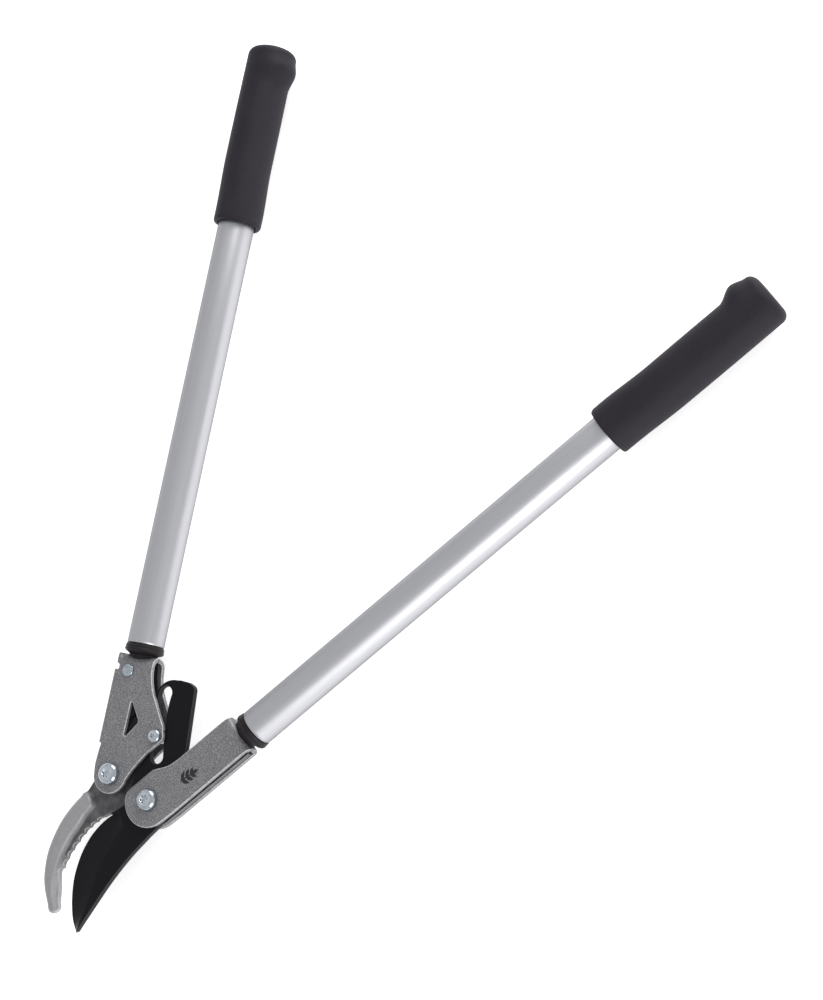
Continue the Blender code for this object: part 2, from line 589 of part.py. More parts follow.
# --- assembly ---------------------------------------------------------------------------------------
handle("left", left, LEFT_TUBE_X, 1.0)
handle("right", right, RIGHT_TUBE_X, -1.0)
left_block = rounded([(-12.4, 40.0, 1.5), (6.0, 40.0, 1.5), (7.6, 50.0, 0), (7.6, 72.4, 1.0), (-10.6, 72.4, 1.0),
                      (-10.6, 68.0, 0), (-12.4, 68.0, 0)])
rivet_bore(insert("left", left, LEFT_TUBE_X, left_block, LEFT_TUBE_X, 11.0, -PLATE_IN + GAP))
right_block = rounded([(-7.0, 49.0, 1.5), (16.8, 49.0, 1.5), (16.8, 72.4, 1.0), (-7.0, 72.4, 1.0)])
insert("right", right, RIGHT_TUBE_X, right_block, 6.1, 10.1, BLADE_LOW)
left_bracket()
right_bracket("right_bracket_front", 1)
right_bracket("right_bracket_rear", -1)
hook()
blade()
hardware()


def stand_on_origin():
    """Moves the tool frame so that the object's box is centred on the origin and stands on Z = 0."""
    bpy.context.view_layer.update()
    graph = bpy.context.evaluated_depsgraph_get()
    corners = []
    for obj in parts.objects:
        if obj.type == "MESH":
            seen = obj.evaluated_get(graph)
            corners += [seen.matrix_world @ v.co for v in seen.data.vertices]
    low = Vector([min(c[i] for c in corners) for i in range(3)])
    high = Vector([max(c[i] for c in corners) for i in range(3)])
    tool.location = tool.location - Vector(((low.x + high.x) / 2, (low.y + high.y) / 2, low.z))
    bpy.context.view_layer.update()
    print("box in mm", [round(v / MM, 2) for v in high - low])
    print("blade pivot in mm", [round(v / MM, 3) for v in tool.matrix_world.translation])
    print("hook pivot in mm", [round(v / MM, 3) for v in left.matrix_world.translation])


for obj in parts.objects:
    if obj.type == "MESH":
        obj.data.shade_smooth()
        obj.data.set_sharp_from_angle(angle=math.radians(30.0))
stand_on_origin()
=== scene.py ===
# %% [markdown]
# # Bypass pruning shears with long handles
#
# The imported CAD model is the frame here: it fixes where every pivot, plate and tube is. Each
# visible piece is then made again as a finer surface in the same place, with rounded edges and a finish
# of its own, and it rides on the CAD body that it belongs to. The shapes are worked out with numpy: an
# outline, a profile carried along a path, or a ring of points carried along an axis.

import json
import math

import bpy
import numpy as np
from mathutils import Matrix, Vector
from mathutils.geometry import delaunay_2d_cdt


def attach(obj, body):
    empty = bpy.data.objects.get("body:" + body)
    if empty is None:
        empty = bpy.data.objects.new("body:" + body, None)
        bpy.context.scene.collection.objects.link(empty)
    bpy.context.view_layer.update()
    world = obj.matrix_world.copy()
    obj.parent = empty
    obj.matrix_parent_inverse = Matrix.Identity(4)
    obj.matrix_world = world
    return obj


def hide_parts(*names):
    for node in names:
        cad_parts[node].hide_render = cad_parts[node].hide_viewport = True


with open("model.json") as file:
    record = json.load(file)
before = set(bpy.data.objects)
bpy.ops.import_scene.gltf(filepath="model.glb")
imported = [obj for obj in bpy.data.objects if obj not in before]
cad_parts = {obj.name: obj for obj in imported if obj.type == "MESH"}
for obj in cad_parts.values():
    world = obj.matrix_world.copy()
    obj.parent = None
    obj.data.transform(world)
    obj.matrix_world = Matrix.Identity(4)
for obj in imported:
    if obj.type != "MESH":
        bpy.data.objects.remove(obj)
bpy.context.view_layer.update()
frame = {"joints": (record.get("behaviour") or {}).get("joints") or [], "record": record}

# %% [markdown]
# ## The tool frame
#
# Everything is drawn in millimetres from the blade's pivot, with Y running from the jaws to the handles
# along the line that halves the angle between them. The two joints give the pivots' places, so nothing
# here has to be fitted by eye. A handle is drawn upright on its own pivot and then turned by half of the
# angle between the handles.

# %% Pivots, angles and layers
MM = 0.001
joints = {joint["name"]: joint for joint in frame["joints"]}
BLADE_PIVOT = np.array(joints["blade_hinge"]["pos_m"])
HOOK_PIVOT = (np.array(joints["left_handle_hinge"]["pos_m"]) - BLADE_PIVOT)[:2] / MM
CLOSING, OPENING = joints["left_handle_hinge"]["range_deg"]
BLADE_TURN = frame["record"]["behaviour"]["couplings"][0]["ratio"]
HALF_SPREAD = 21.85
ROLLER_AT = np.array([-19.8, 36.6])
BLADE_LOW, BLADE_HIGH = 0.15, 4.15
HOOK_LOW, HOOK_HIGH, JAW_HIGH = -4.15, -0.15, 3.9
PLATE_IN, PLATE_OUT = 4.45, 7.45
GAP = 0.3


def turned(points, degrees, pivot=(0.0, 0.0)):
    """Points turned about a pivot in the plane: the rotation matrix times the offset from the pivot."""
    a = math.radians(degrees)
    spin = np.array([[math.cos(a), math.sin(a)], [-math.sin(a), math.cos(a)]])
    points, pivot = np.asarray(points, float), np.asarray(pivot, float)
    return (points - pivot) @ spin + pivot


def to_row(points, side=None):
    """Drawn points in mm to the row frame in metres; side is the handle they are drawn on, if any."""
    points = np.array(points, float)
    if side == "left":
        points[:, :2] = turned(points[:, :2], HALF_SPREAD) + HOOK_PIVOT
    elif side == "right":
        points[:, :2] = turned(points[:, :2], -HALF_SPREAD)
    return points * MM + BLADE_PIVOT


def on_left(point):
    """A point of the tool frame, as drawn on the left handle."""
    return turned(np.asarray(point, float) - HOOK_PIVOT, -HALF_SPREAD)


print("hook pivot in mm from the blade pivot:", HOOK_PIVOT.round(2))

# %% [markdown]
# ## Camera, floor and light
#
# The shears lie on a pale floor and the camera looks down on them from the right, with a long lens. The
# camera stands over the handles, so its view is turned until the jaws point down and to the left. The
# floor is a light table, which glows a little, under an even pale room. One broad soft lamp stands to the
# right of the jaws: it draws a highlight along the right tube and along the rims, while flat faces mirror
# only the room and keep their true colours. A second lamp stands beyond the handles and lights the curled
# ends. The plain Standard view shows white paper as white.

# %% Camera
def aimed(obj, place, target, roll=0.0):
    """Puts an object at a place, facing a target, then turns it about its own line of sight."""
    look = (Vector(target) - Vector(place)).to_track_quat("-Z", "Y").to_matrix().to_4x4()
    spin = Matrix.Rotation(math.radians(roll), 4, "Z")
    obj.matrix_world = Matrix.Translation(Vector(place)) @ look @ spin


lens = bpy.data.cameras.new("camera")
lens.sensor_fit, lens.sensor_height, lens.lens = "VERTICAL", 36.0, 72.0
lens.clip_start, lens.clip_end = 0.05, 20.0
camera = bpy.data.objects.new("camera", lens)
bpy.context.scene.collection.objects.link(camera)
EYE = (692.67, 299.76, 1103.74)
AIM = (53.93, 256.61, 0.0)
aimed(camera, to_row([EYE])[0], to_row([AIM])[0], roll=-63.15)
bpy.context.scene.camera = camera
bpy.context.scene.view_settings.view_transform = "Standard"
print("camera at", [round(v, 3) for v in camera.location])


# %% Floor and lamps
def lamp(name, place, size, watts):
    """A rectangular soft white lamp that faces the middle of the floor."""
    light = bpy.data.lights.new(name, "AREA")
    light.shape, light.size, light.size_y = "RECTANGLE", *size
    light.energy = watts
    obj = bpy.data.objects.new(name, light)
    bpy.context.scene.collection.objects.link(obj)
    aimed(obj, place, (0.0, 0.0, 0.0))


floor_mesh = bpy.data.meshes.new("floor")
FLOOR_HALF, FLOOR_Z = 6.0, -0.0005
corners = [(x * FLOOR_HALF, y * FLOOR_HALF, FLOOR_Z) for x, y in ((-1, -1), (1, -1), (1, 1), (-1, 1))]
floor_mesh.from_pydata(corners, [], [(0, 1, 2, 3)])
floor = bpy.data.objects.new("floor", floor_mesh)
bpy.context.scene.collection.objects.link(floor)
paper = bpy.data.materials.new("pale_paper")
paper.use_nodes = True
paper_shader = paper.node_tree.nodes["Principled BSDF"]
paper_shader.inputs["Base Color"].default_value = (0.92, 0.92, 0.92, 1)
paper_shader.inputs["Roughness"].default_value = 0.9
paper_shader.inputs["Specular IOR Level"].default_value = 0.1
paper_shader.inputs["Emission Color"].default_value = (1.0, 1.0, 1.0, 1)
paper_shader.inputs["Emission Strength"].default_value = 0.55
floor_mesh.materials.append(paper)

surround = bpy.data.worlds.new("surround")
surround.use_nodes = True
surround.node_tree.nodes["Background"].inputs["Color"].default_value = (0.97, 0.98, 1.0, 1)
surround.node_tree.nodes["Background"].inputs["Strength"].default_value = 0.70
bpy.context.scene.world = surround
lamp("key", (2.8, -1.1, 1.2), (1.7, 2.2), 42)
lamp("back", (-0.4, 3.2, 1.3), (2.2, 1.2), 75)

# %% [markdown]
# ## Finishes
#
# Every finish is built from the same few steps: noise in Object coordinates gives a pattern, a ramp turns
# it into colour or roughness, and a Bump node turns it into relief. The shapes carry an attribute called
# `wear`, which is 1 on cut and rounded edges: a coat can thin there and show bright
# steel, and the paler tone there is also a painted highlight along the edges.


# %% Node helpers
class Finish:
    """A Principled material and short ways to add the nodes that feed it."""

    def __init__(self, name, roughness=0.5, metallic=0.0, specular=0.5):
        """A new material whose shader has these plain values."""
        self.material = bpy.data.materials.new(name)
        self.material.use_nodes = True
        self.tree = self.material.node_tree
        self.shader = self.tree.nodes["Principled BSDF"]
        self.shader.inputs["Roughness"].default_value = roughness
        self.shader.inputs["Metallic"].default_value = metallic
        self.shader.inputs["Specular IOR Level"].default_value = specular

    def node(self, kind, **inputs):
        """A new node, with a value or a link in each input that is named."""
        made = self.tree.nodes.new(kind)
        for key, value in inputs.items():
            self.feed(made.inputs[key.replace("_", " ")], value)
        return made

    def feed(self, socket, value):
        """Links a socket, or sets its plain value."""
        if isinstance(value, bpy.types.NodeSocket):
            self.tree.links.new(value, socket)
        else:
            socket.default_value = value

    def place(self, turn=0.0, stretch=(1.0, 1.0, 1.0)):
        """Object coordinates, turned about Z and stretched."""
        where = self.node("ShaderNodeTexCoord").outputs["Object"]
        mapping = self.node("ShaderNodeMapping", Vector=where)
        mapping.vector_type = "TEXTURE"
        mapping.inputs["Rotation"].default_value = (0.0, 0.0, math.radians(turn))
        mapping.inputs["Scale"].default_value = stretch
        return mapping.outputs["Vector"]

    def noise(self, vector, size, detail=3.0, roughness=0.55):
        """Noise with features of about this size in millimetres."""
        made = self.node("ShaderNodeTexNoise", Vector=vector, Scale=1.0 / (size * MM), Detail=detail,
                         Roughness=roughness)
        return made.outputs["Fac"]

    def cells(self, vector, size):
        """The distance to the nearest of scattered points that are about this far apart."""
        made = self.node("ShaderNodeTexVoronoi", Vector=vector, Scale=1.0 / (size * MM))
        return made.outputs["Distance"]

    def ramp(self, fac, *stops):
        """A ramp through (position, grey or colour) stops."""
        made = self.node("ShaderNodeValToRGB", Fac=fac)
        band = made.color_ramp
        for i, (place, colour) in enumerate(stops):
            stop = band.elements[i] if i < 2 else band.elements.new(place)
            stop.position = place
            stop.color = (*colour, 1) if isinstance(colour, tuple) else (colour, colour, colour, 1)
        return made.outputs["Color"]

    def mix(self, fac, a, b):
        """Colour a where the factor is 0 and colour b where it is 1."""
        made = self.tree.nodes.new("ShaderNodeMix")
        made.data_type = "RGBA"
        self.feed(made.inputs[0], fac)
        self.feed(made.inputs[6], a)
        self.feed(made.inputs[7], b)
        return made.outputs[2]

    def maths(self, operation, a, b):
        """One sum or product, held between 0 and 1."""
        made = self.tree.nodes.new("ShaderNodeMath")
        made.operation, made.use_clamp = operation, True
        self.feed(made.inputs[0], a)
        self.feed(made.inputs[1], b)
        return made.outputs[0]

    def attribute(self, name):
        """A number that the mesh carries at each point."""
        made = self.node("ShaderNodeAttribute")
        made.attribute_name = name
        return made.outputs["Fac"]

    def wear(self):
        """1 on cut and rounded edges, 0 on the faces: where edge wear and a painted edge highlight go."""
        return self.attribute("wear")

    def colour(self, value):
        """Feeds the base colour."""
        self.feed(self.shader.inputs["Base Color"], value)

    def roughness(self, fac, low, high):
        """Roughness in a straight line from low where the factor is 0 to high where it is 1."""
        made = self.node("ShaderNodeMapRange", Value=fac)
        made.inputs["To Min"].default_value, made.inputs["To Max"].default_value = low, high
        self.feed(self.shader.inputs["Roughness"], made.outputs["Result"])

    def bump(self, *layers):
        """Relief from (height, depth in mm, strength) layers, each on top of the last."""
        normal = None
        for height, depth, strength in layers:
            made = self.node("ShaderNodeBump", Height=height, Strength=strength, Distance=depth * MM)
            if normal is not None:
                self.feed(made.inputs["Normal"], normal)
            normal = made.outputs["Normal"]
        self.feed(self.shader.inputs["Normal"], normal)


# %% [markdown]
# The pressed plates have a grey hammered coat: fine dark and light specks, with a soft wrinkle in the
# relief. Where the plates were sheared, the coat is thin and the edge is bright: worn steel, and also a
# painted highlight along the edge.


# %% Coated steel
def coated_steel():
    """Three greys of specks under a faint cloud, and a nibbled share of bright edges: wear and painted
    highlight.
    """
    finish = Finish("hammered_coat", roughness=0.42, metallic=0.3)
    where = finish.place()
    speck = finish.noise(where, 0.75, detail=2.0, roughness=0.6)
    cloud = finish.noise(where, 9.0)
    base = finish.ramp(speck, (0.34, (0.105, 0.103, 0.108)), (0.50, (0.190, 0.188, 0.196)),
                       (0.68, (0.37, 0.37, 0.38)))
    base = finish.mix(finish.ramp(cloud, (0.35, 0.0), (0.7, 0.35)), base, (0.165, 0.162, 0.172, 1))
    chips = finish.ramp(finish.noise(where, 1.4), (0.38, 0.45), (0.55, 1.0))
    # Edge wear and painted edge highlight: bright steel at the edges, broken up by the chips.
    worn_and_highlit_edge = finish.maths("MULTIPLY", finish.wear(), chips)
    finish.colour(finish.mix(worn_and_highlit_edge, base, (0.62, 0.63, 0.65, 1)))
    finish.roughness(speck, 0.32, 0.55)
    finish.bump((speck, 0.07, 0.7), (finish.cells(where, 1.1), 0.05, 0.3))
    return finish.material


# %% [markdown]
# The hook is a forging with a light, even grain on its raised jaw. The recess where the blade runs and the
# underside carry a dark, smeared tone, which is painted shade. The hook has an attribute called `raised`
# for that, which is 0 in the recess and 1 on the jaw.


# %% Forged steel
def forged_steel():
    """Jaw tone and a dark painted shade, mixed by the raised attribute, with paler edges."""
    finish = Finish("forging_with_painted_recess_shade", roughness=0.45, metallic=0.35)
    where = finish.place()
    grain = finish.noise(where, 0.8, detail=3.0, roughness=0.65)
    cloud = finish.noise(where, 7.0, detail=4.0, roughness=0.6)
    bright = finish.ramp(grain, (0.30, (0.275, 0.273, 0.278)), (0.70, (0.365, 0.365, 0.37)))
    # Painted shade: this dark tone goes into the recess and onto the underside, where raised is 0.
    dark = finish.ramp(cloud, (0.35, (0.058, 0.055, 0.058)), (0.70, (0.140, 0.135, 0.138)))
    base = finish.mix(finish.attribute("raised"), dark, bright)
    base = finish.mix(finish.maths("MULTIPLY", finish.wear(), 0.5), base, (0.52, 0.52, 0.53, 1))
    finish.colour(base)
    finish.roughness(cloud, 0.36, 0.56)
    finish.bump((grain, 0.06, 0.6), (cloud, 0.5, 0.35))
    return finish.material


# %% [markdown]
# The blade has a black low-friction coat: almost no colour, a soft sheen, a very fine orange-peel, and
# faint rub marks along the ground bevel.


# %% Blade coat
def blade_coat():
    """Near black, with a painted highlight in a paler tone at the edges, and roughness along the rub marks.
    """
    finish = Finish("black_blade_coat", roughness=0.36, specular=0.13)
    where = finish.place()
    peel = finish.noise(where, 0.8, detail=2.0)
    rubs = finish.noise(finish.place(turn=75.0, stretch=(9.0, 1.0, 1.0)), 0.6)
    base = finish.ramp(peel, (0.3, (0.0040, 0.0034, 0.0048)), (0.7, (0.0070, 0.0060, 0.0080)))
    # Painted highlight: the edges get a paler tone through the edge attribute.
    base = finish.mix(finish.maths("MULTIPLY", finish.wear(), 0.6), base, (0.085, 0.082, 0.087, 1))
    finish.colour(base)
    finish.roughness(rubs, 0.26, 0.46)
    finish.bump((peel, 0.03, 0.35), (rubs, 0.02, 0.25))
    return finish.material


# %% [markdown]
# The tubes are anodised aluminium with a satin brushed skin. The brush lines run along each tube, so the
# noise is stretched along it after turning the coordinates by the handle's angle.


# %% Satin aluminium
def satin_aluminium(name, turn):
    """Colour, roughness and relief all follow one noise, stretched 160 times along the tube."""
    finish = Finish(name, roughness=0.33, metallic=1.0)
    drawn = finish.place(turn=turn, stretch=(1.0, 160.0, 1.0))
    lines = finish.noise(drawn, 0.35, roughness=0.6)
    cloud = finish.noise(finish.place(turn=turn, stretch=(1.0, 5.0, 1.0)), 14.0)
    base = finish.ramp(lines, (0.25, (0.485, 0.485, 0.505)), (0.75, (0.565, 0.565, 0.585)))
    finish.colour(finish.mix(finish.ramp(cloud, (0.35, 0.0), (0.7, 0.25)), base, (0.52, 0.52, 0.54, 1)))
    finish.roughness(lines, 0.36, 0.46)
    finish.shader.inputs["Specular Tint"].default_value = (0.30, 0.30, 0.31, 1)
    finish.bump((lines, 0.012, 0.35))
    return finish.material


# %% Zinc plate
def zinc_plate():
    """Bright zinc on the screws and nuts: bluish, with slight smears of haze."""
    finish = Finish("bright_zinc", roughness=0.22, metallic=1.0)
    where = finish.place()
    haze = finish.noise(where, 2.6, detail=2.0, roughness=0.5)
    base = finish.ramp(haze, (0.3, (0.38, 0.43, 0.48)), (0.7, (0.58, 0.62, 0.66)))
    finish.colour(finish.mix(finish.maths("MULTIPLY", finish.wear(), 0.5), base, (0.88, 0.90, 0.91, 1)))
    finish.roughness(haze, 0.12, 0.22)
    finish.bump((haze, 0.02, 0.4))
    return finish.material


# %% [markdown]
# The grips are soft moulded rubber with a violet-black tint, matte and slightly velvety. The inserts are
# a harder brown-black plastic with a little more shine.


# %% Rubber and plastic
def grip_rubber(name, turn):
    """A dark cloudy ground with fine cells over it, both a little violet."""
    finish = Finish(name, roughness=0.62, specular=0.24)
    where = finish.place(turn=turn)
    stipple = finish.cells(where, 0.9)
    cloud = finish.noise(finish.place(turn=turn, stretch=(1.0, 3.0, 1.0)), 12.0)
    base = finish.ramp(cloud, (0.3, (0.0105, 0.0088, 0.0132)), (0.75, (0.0180, 0.0150, 0.0212)))
    finish.colour(finish.mix(finish.ramp(stipple, (0.1, 0.0), (0.6, 0.35)), base, (0.029, 0.024, 0.033, 1)))
    finish.roughness(cloud, 0.56, 0.74)
    finish.bump((stipple, 0.05, 0.28), (finish.noise(where, 0.35), 0.03, 0.25))
    return finish.material


def black_plastic():
    """A nearly black cloud with a fine grain in its shine."""
    finish = Finish("moulded_plastic", roughness=0.45, specular=0.2)
    where = finish.place()
    grain = finish.noise(where, 0.6, detail=2.0)
    cloud = finish.noise(where, 6.0)
    finish.colour(finish.ramp(cloud, (0.3, (0.0110, 0.0085, 0.0100)), (0.7, (0.0180, 0.0145, 0.0165))))
    finish.roughness(grain, 0.38, 0.54)
    finish.bump((grain, 0.03, 0.3))
    return finish.material


def dark_ink():
    """Flat black paint, a little worn."""
    finish = Finish("dark_ink", roughness=0.5, specular=0.3)
    worn = finish.noise(finish.place(), 0.7, detail=2.0)
    finish.colour(finish.ramp(worn, (0.35, (0.012, 0.011, 0.013)), (0.72, (0.030, 0.029, 0.031))))
    finish.roughness(worn, 0.42, 0.6)
    return finish.material


def sintered_bronze():
    """Brown metal with darker pores."""
    finish = Finish("sintered_bronze", roughness=0.4, metallic=1.0)
    pores = finish.noise(finish.place(), 0.3, detail=2.0)
    finish.colour(finish.ramp(pores, (0.35, (0.28, 0.19, 0.11)), (0.6, (0.55, 0.41, 0.25))))
    finish.roughness(pores, 0.3, 0.5)
    return finish.material


COAT, FORGED, BLACK, ZINC = coated_steel(), forged_steel(), blade_coat(), zinc_plate()
PLASTIC, BRONZE, INK = black_plastic(), sintered_bronze(), dark_ink()
ALUMINIUM = {"left": satin_aluminium("satin_tube_left", HALF_SPREAD),
             "right": satin_aluminium("satin_tube_right", -HALF_SPREAD)}
RUBBER = {"left": grip_rubber("soft_grip_left", HALF_SPREAD),
          "right": grip_rubber("soft_grip_right", -HALF_SPREAD)}
print("finishes:", len(bpy.data.materials))

# %% [markdown]
# ## From numbers to pieces
#
# One function makes the mesh, gives it its finish, hides the CAD node that it stands for, and hangs it on
# the body that it rides on. Round pieces come from rings of points; flat ones come from an outline.


# %% Make a piece
def piece(name, points, faces, finish, body, stands_for, slot, sharp=None, **attributes):
    """A mesh from points in the row frame and faces, with smooth shading and its place in the vertices."""
    mesh = bpy.data.meshes.new(name)
    mesh.from_pydata(points.tolist(), [], faces)
    mesh.validate()
    mesh.shade_smooth()
    if sharp:
        mesh.set_sharp_from_angle(angle=math.radians(sharp))
    for label, values in attributes.items():
        layer = mesh.attributes.new(label, "FLOAT", "POINT")
        layer.data.foreach_set("value", np.asarray(values, np.float32))
    mesh.materials.append(finish)
    obj = bpy.data.objects.new(name, mesh)
    bpy.context.scene.collection.objects.link(obj)
    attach(obj, body)
    if stands_for:
        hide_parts(*stands_for)
    print(f"{name}: {len(points)} points, {len(faces)} faces")


# %% Outline helpers
def unit(v):
    """Vectors divided by their lengths."""
    return v / np.linalg.norm(v, axis=-1, keepdims=True).clip(1e-12)


def arc(centre, radius, start, end, steps=24):
    """Points at equal angles on an arc, in degrees, both ends included."""
    a = np.radians(np.linspace(start, end, steps + 1))
    return np.asarray(centre, float) + radius * np.stack([np.cos(a), np.sin(a)], 1)


def circle(centre, radius, steps=48):
    """A closed ring that runs clockwise, as the outline of a hole does."""
    return arc(centre, radius, 0.0, -360.0, steps)[:-1]


def through(points, steps=10):
    """A smooth curve through points: on each span a cubic whose end slopes are half the chord across."""
    p = np.asarray(points, float)
    p = np.vstack([2 * p[0] - p[1], p, 2 * p[-1] - p[-2]])
    t = np.arange(steps)[:, None, None] / steps
    a, b, c, d = p[:-3], p[1:-2], p[2:-1], p[3:]
    square, cube = 2 * a - 5 * b + 4 * c - d, 3 * b - a - 3 * c + d
    spans = 0.5 * (2 * b + (c - a) * t + square * t ** 2 + cube * t ** 3)
    return np.vstack([spans.transpose(1, 0, 2).reshape(-1, 2), p[-2]])


def rounded(corners, steps=6):
    """A loop from (x, y, radius) corners: each corner becomes an arc that touches both of its sides."""
    spot = np.array([c[:2] for c in corners], float)
    pieces = []
    for i, (x, y, radius) in enumerate(corners):
        back, ahead = unit(spot[i - 1] - spot[i]), unit(spot[(i + 1) % len(spot)] - spot[i])
        half = math.acos(np.clip(back @ ahead, -1, 1)) / 2
        if radius <= 0 or half > math.radians(88):
            pieces.append(spot[i][None])
            continue
        centre = spot[i] + unit(back + ahead) * radius / math.sin(half)
        start = spot[i] + back * radius / math.tan(half) - centre
        end = spot[i] + ahead * radius / math.tan(half) - centre
        a, b = math.atan2(start[1], start[0]), math.atan2(end[1], end[0])
        sweep = (b - a + math.pi) % (2 * math.pi) - math.pi
        pieces.append(arc(centre, radius, math.degrees(a), math.degrees(a + sweep), steps))
    return np.vstack(pieces)


def densified(loop, spacing, closed=True):
    """The same line with points added so that none are further apart than the spacing."""
    line = np.vstack([loop, loop[:1]]) if closed else loop
    lengths = np.linalg.norm(np.diff(line, axis=0), axis=1)
    counts = np.maximum(1, np.ceil(lengths / spacing)).astype(int)
    first = np.repeat(np.arange(len(counts)), counts)
    begun = np.repeat(np.cumsum(counts) - counts, counts)
    part = (np.arange(counts.sum()) - begun) / np.repeat(counts, counts)
    dense = line[first] + (line[first + 1] - line[first]) * part[:, None]
    return dense if closed else np.vstack([dense, line[-1]])


def inward(loop, amount):
    """A closed loop moved to its left by an amount at each point, along the bisector of its two sides."""
    before, after = unit(loop - np.roll(loop, 1, 0)), unit(np.roll(loop, -1, 0) - loop)
    left = np.stack([-before[:, 1] - after[:, 1], before[:, 0] + after[:, 0]], 1)
    return loop + left / (1 + (before * after).sum(1)).clip(0.35)[:, None] * np.asarray(amount)[:, None]


def inside(points, loop):
    """True where a point is inside a loop: a line to the right crosses it an odd number of times."""
    a, b = loop, np.roll(loop, -1, 0)
    x, y = points[:, :1], points[:, 1:]
    crosses = (a[:, 1] > y) != (b[:, 1] > y)
    rise = np.where(b[:, 1] == a[:, 1], 1.0, b[:, 1] - a[:, 1])
    return (crosses & (x < (b[:, 0] - a[:, 0]) * (y - a[:, 1]) / rise + a[:, 0])).sum(1) % 2 == 1


def distance(points, line, closed=False):
    """Each point's distance to the nearest place on a line."""
    a, b = (line, np.roll(line, -1, 0)) if closed else (line[:-1], line[1:])
    along = b - a
    t = ((points[:, None] - a) * along).sum(2) / (along ** 2).sum(1).clip(1e-12)
    return np.linalg.norm(points[:, None] - a - t.clip(0, 1)[..., None] * along, axis=2).min(1)


def soft_step(value, low, high):
    """0 below low, 1 above high, and a smooth cubic rise between."""
    t = ((value - low) / (high - low)).clip(0, 1)
    return t * t * (3 - 2 * t)


# %% [markdown]
# ## A slab with rounded edges
#
# Plates, hook and blade are all cut from flat stock, so they share one function. The edge is a quarter
# circle profile carried round each outline, in the material at every point. The two faces are filled with
# triangles over a grid of inner points, and a height function lifts each point to its place, which is how
# the blade gets its bevel and the hook its raised jaw.


# %% Slab
EDGE_STEPS = 4


def filled(loops, spacing, creases=()):
    """Triangles over the outer loop and round the holes, with grid points inside; creases become edges."""
    outer, holes = loops[0], loops[1:]
    low, high = outer.min(0), outer.max(0)
    xs, ys = (np.arange(low[i], high[i], spacing) + spacing / 2 for i in range(2))
    grid = np.stack(np.meshgrid(xs, ys), -1).reshape(-1, 2)
    keep = inside(grid, outer)
    for hole in holes:
        keep &= ~inside(grid, hole)
    grid = grid[keep]
    for line in [*loops, *creases]:
        grid = grid[distance(grid, line, closed=any(line is loop for loop in loops)) > spacing * 0.5]
    rims = np.vstack(loops)
    edges, start = [], 0
    for loop in loops:
        index = np.arange(start, start + len(loop))
        edges.append(np.stack([index, np.roll(index, -1)], 1))
        start += len(loop)
    points = np.vstack([rims, *creases, grid])
    for line in creases:
        index = np.arange(start, start + len(line))
        edges.append(np.stack([index[:-1], index[1:]], 1))
        start += len(line)
    places = [Vector(p) for p in points]
    made, _, faces, origin, _, _ = delaunay_2d_cdt(places, np.vstack(edges).tolist(), [], 0, 1e-6)
    made = np.array([tuple(p) for p in made])
    faces = np.array(faces)
    middle = made[faces].mean(1)
    keep = inside(middle, outer)
    for hole in holes:
        keep &= ~inside(middle, hole)
    faces = faces[keep]
    turn = np.cross(made[faces[:, 1]] - made[faces[:, 0]], made[faces[:, 2]] - made[faces[:, 0]])
    faces[turn < 0] = faces[turn < 0][:, ::-1]
    old = np.array([source[0] if source else -1 for source in origin])
    on_rim = (old >= 0) & (old < len(rims))
    order = np.concatenate([np.flatnonzero(on_rim)[np.argsort(old[on_rim])], np.flatnonzero(~on_rim)])
    if (old[order[:len(rims)]] != np.arange(len(rims))).any():
        raise ValueError("an outline crosses itself")
    place = np.empty(len(made), int)
    place[order] = np.arange(len(made))
    return made[order], place[faces]


def slab(loops, top, bottom, radius, spacing, creases=()):
    """Points, faces, and edge wear and painted highlight of a slab: top, bottom and radius are functions of
    the plan position.
    """
    a = np.radians(np.linspace(90.0, 0.0, EDGE_STEPS + 1))
    reach, drop = 1 - np.cos(a), 1 - np.sin(a)
    hold = 0.25
    # Per row of the rounded edge, from the face round to the side: its share of edge wear and painted
    # highlight.
    worn = [0.3, 1.0, 1.0, 0.6, 0.12]
    shifts = [(1.0 + hold, 0.0, 0.0)] + [(reach[i], drop[i], worn[i]) for i in range(EDGE_STEPS + 1)]
    points, faces, wear, caps = [], [], [], []
    count = 0
    for loop in loops:
        size = len(loop)
        thick = top(loop) - bottom(loop)
        r = np.minimum(radius(loop), 0.45 * thick)
        rows = []
        for level, sign in ((bottom, 1.0), (top, -1.0)):
            for move, fall, amount in (shifts if sign > 0 else shifts[::-1]):
                flat = inward(loop, r * move)
                rows.append(np.column_stack([flat, level(flat) + sign * r * fall]))
                wear.append(np.full(size, amount))
        caps.append((rows[0][:, :2], count, count + (len(rows) - 1) * size))
        index = np.arange(size)
        for k in range(len(rows) - 1):
            low, high = count + k * size, count + (k + 1) * size
            after = np.roll(index, -1)
            faces.append(np.stack([low + index, low + after, high + after, high + index], 1))
        points += rows
        count += size * len(rows)
    flat, triangles = filled([c[0] for c in caps], spacing, creases)
    rims = sum(len(c[0]) for c in caps)
    inner = flat[rims:]
    new = count + np.arange(len(inner))
    low_map, high_map = (np.concatenate([np.arange(c[i], c[i] + len(c[0])) for c in caps] + [more])
                         for i, more in ((1, new), (2, new + len(inner))))
    points += [np.column_stack([inner, bottom(inner)]), np.column_stack([inner, top(inner)])]
    wear.append(np.zeros(2 * len(inner)))
    faces = np.vstack(faces).tolist() + low_map[triangles[:, ::-1]].tolist() + high_map[triangles].tolist()
    return np.vstack(points), faces, np.concatenate(wear)


def level(z):
    """A height function for a flat face."""
    return lambda points: np.full(len(points), float(z))


# %% [markdown]
# ## Turned pieces
#
# A ring of points is carried along an axis, and its radius may change with the angle, so one function
# makes tubes, grips, screw heads with lobed sockets, and nuts.


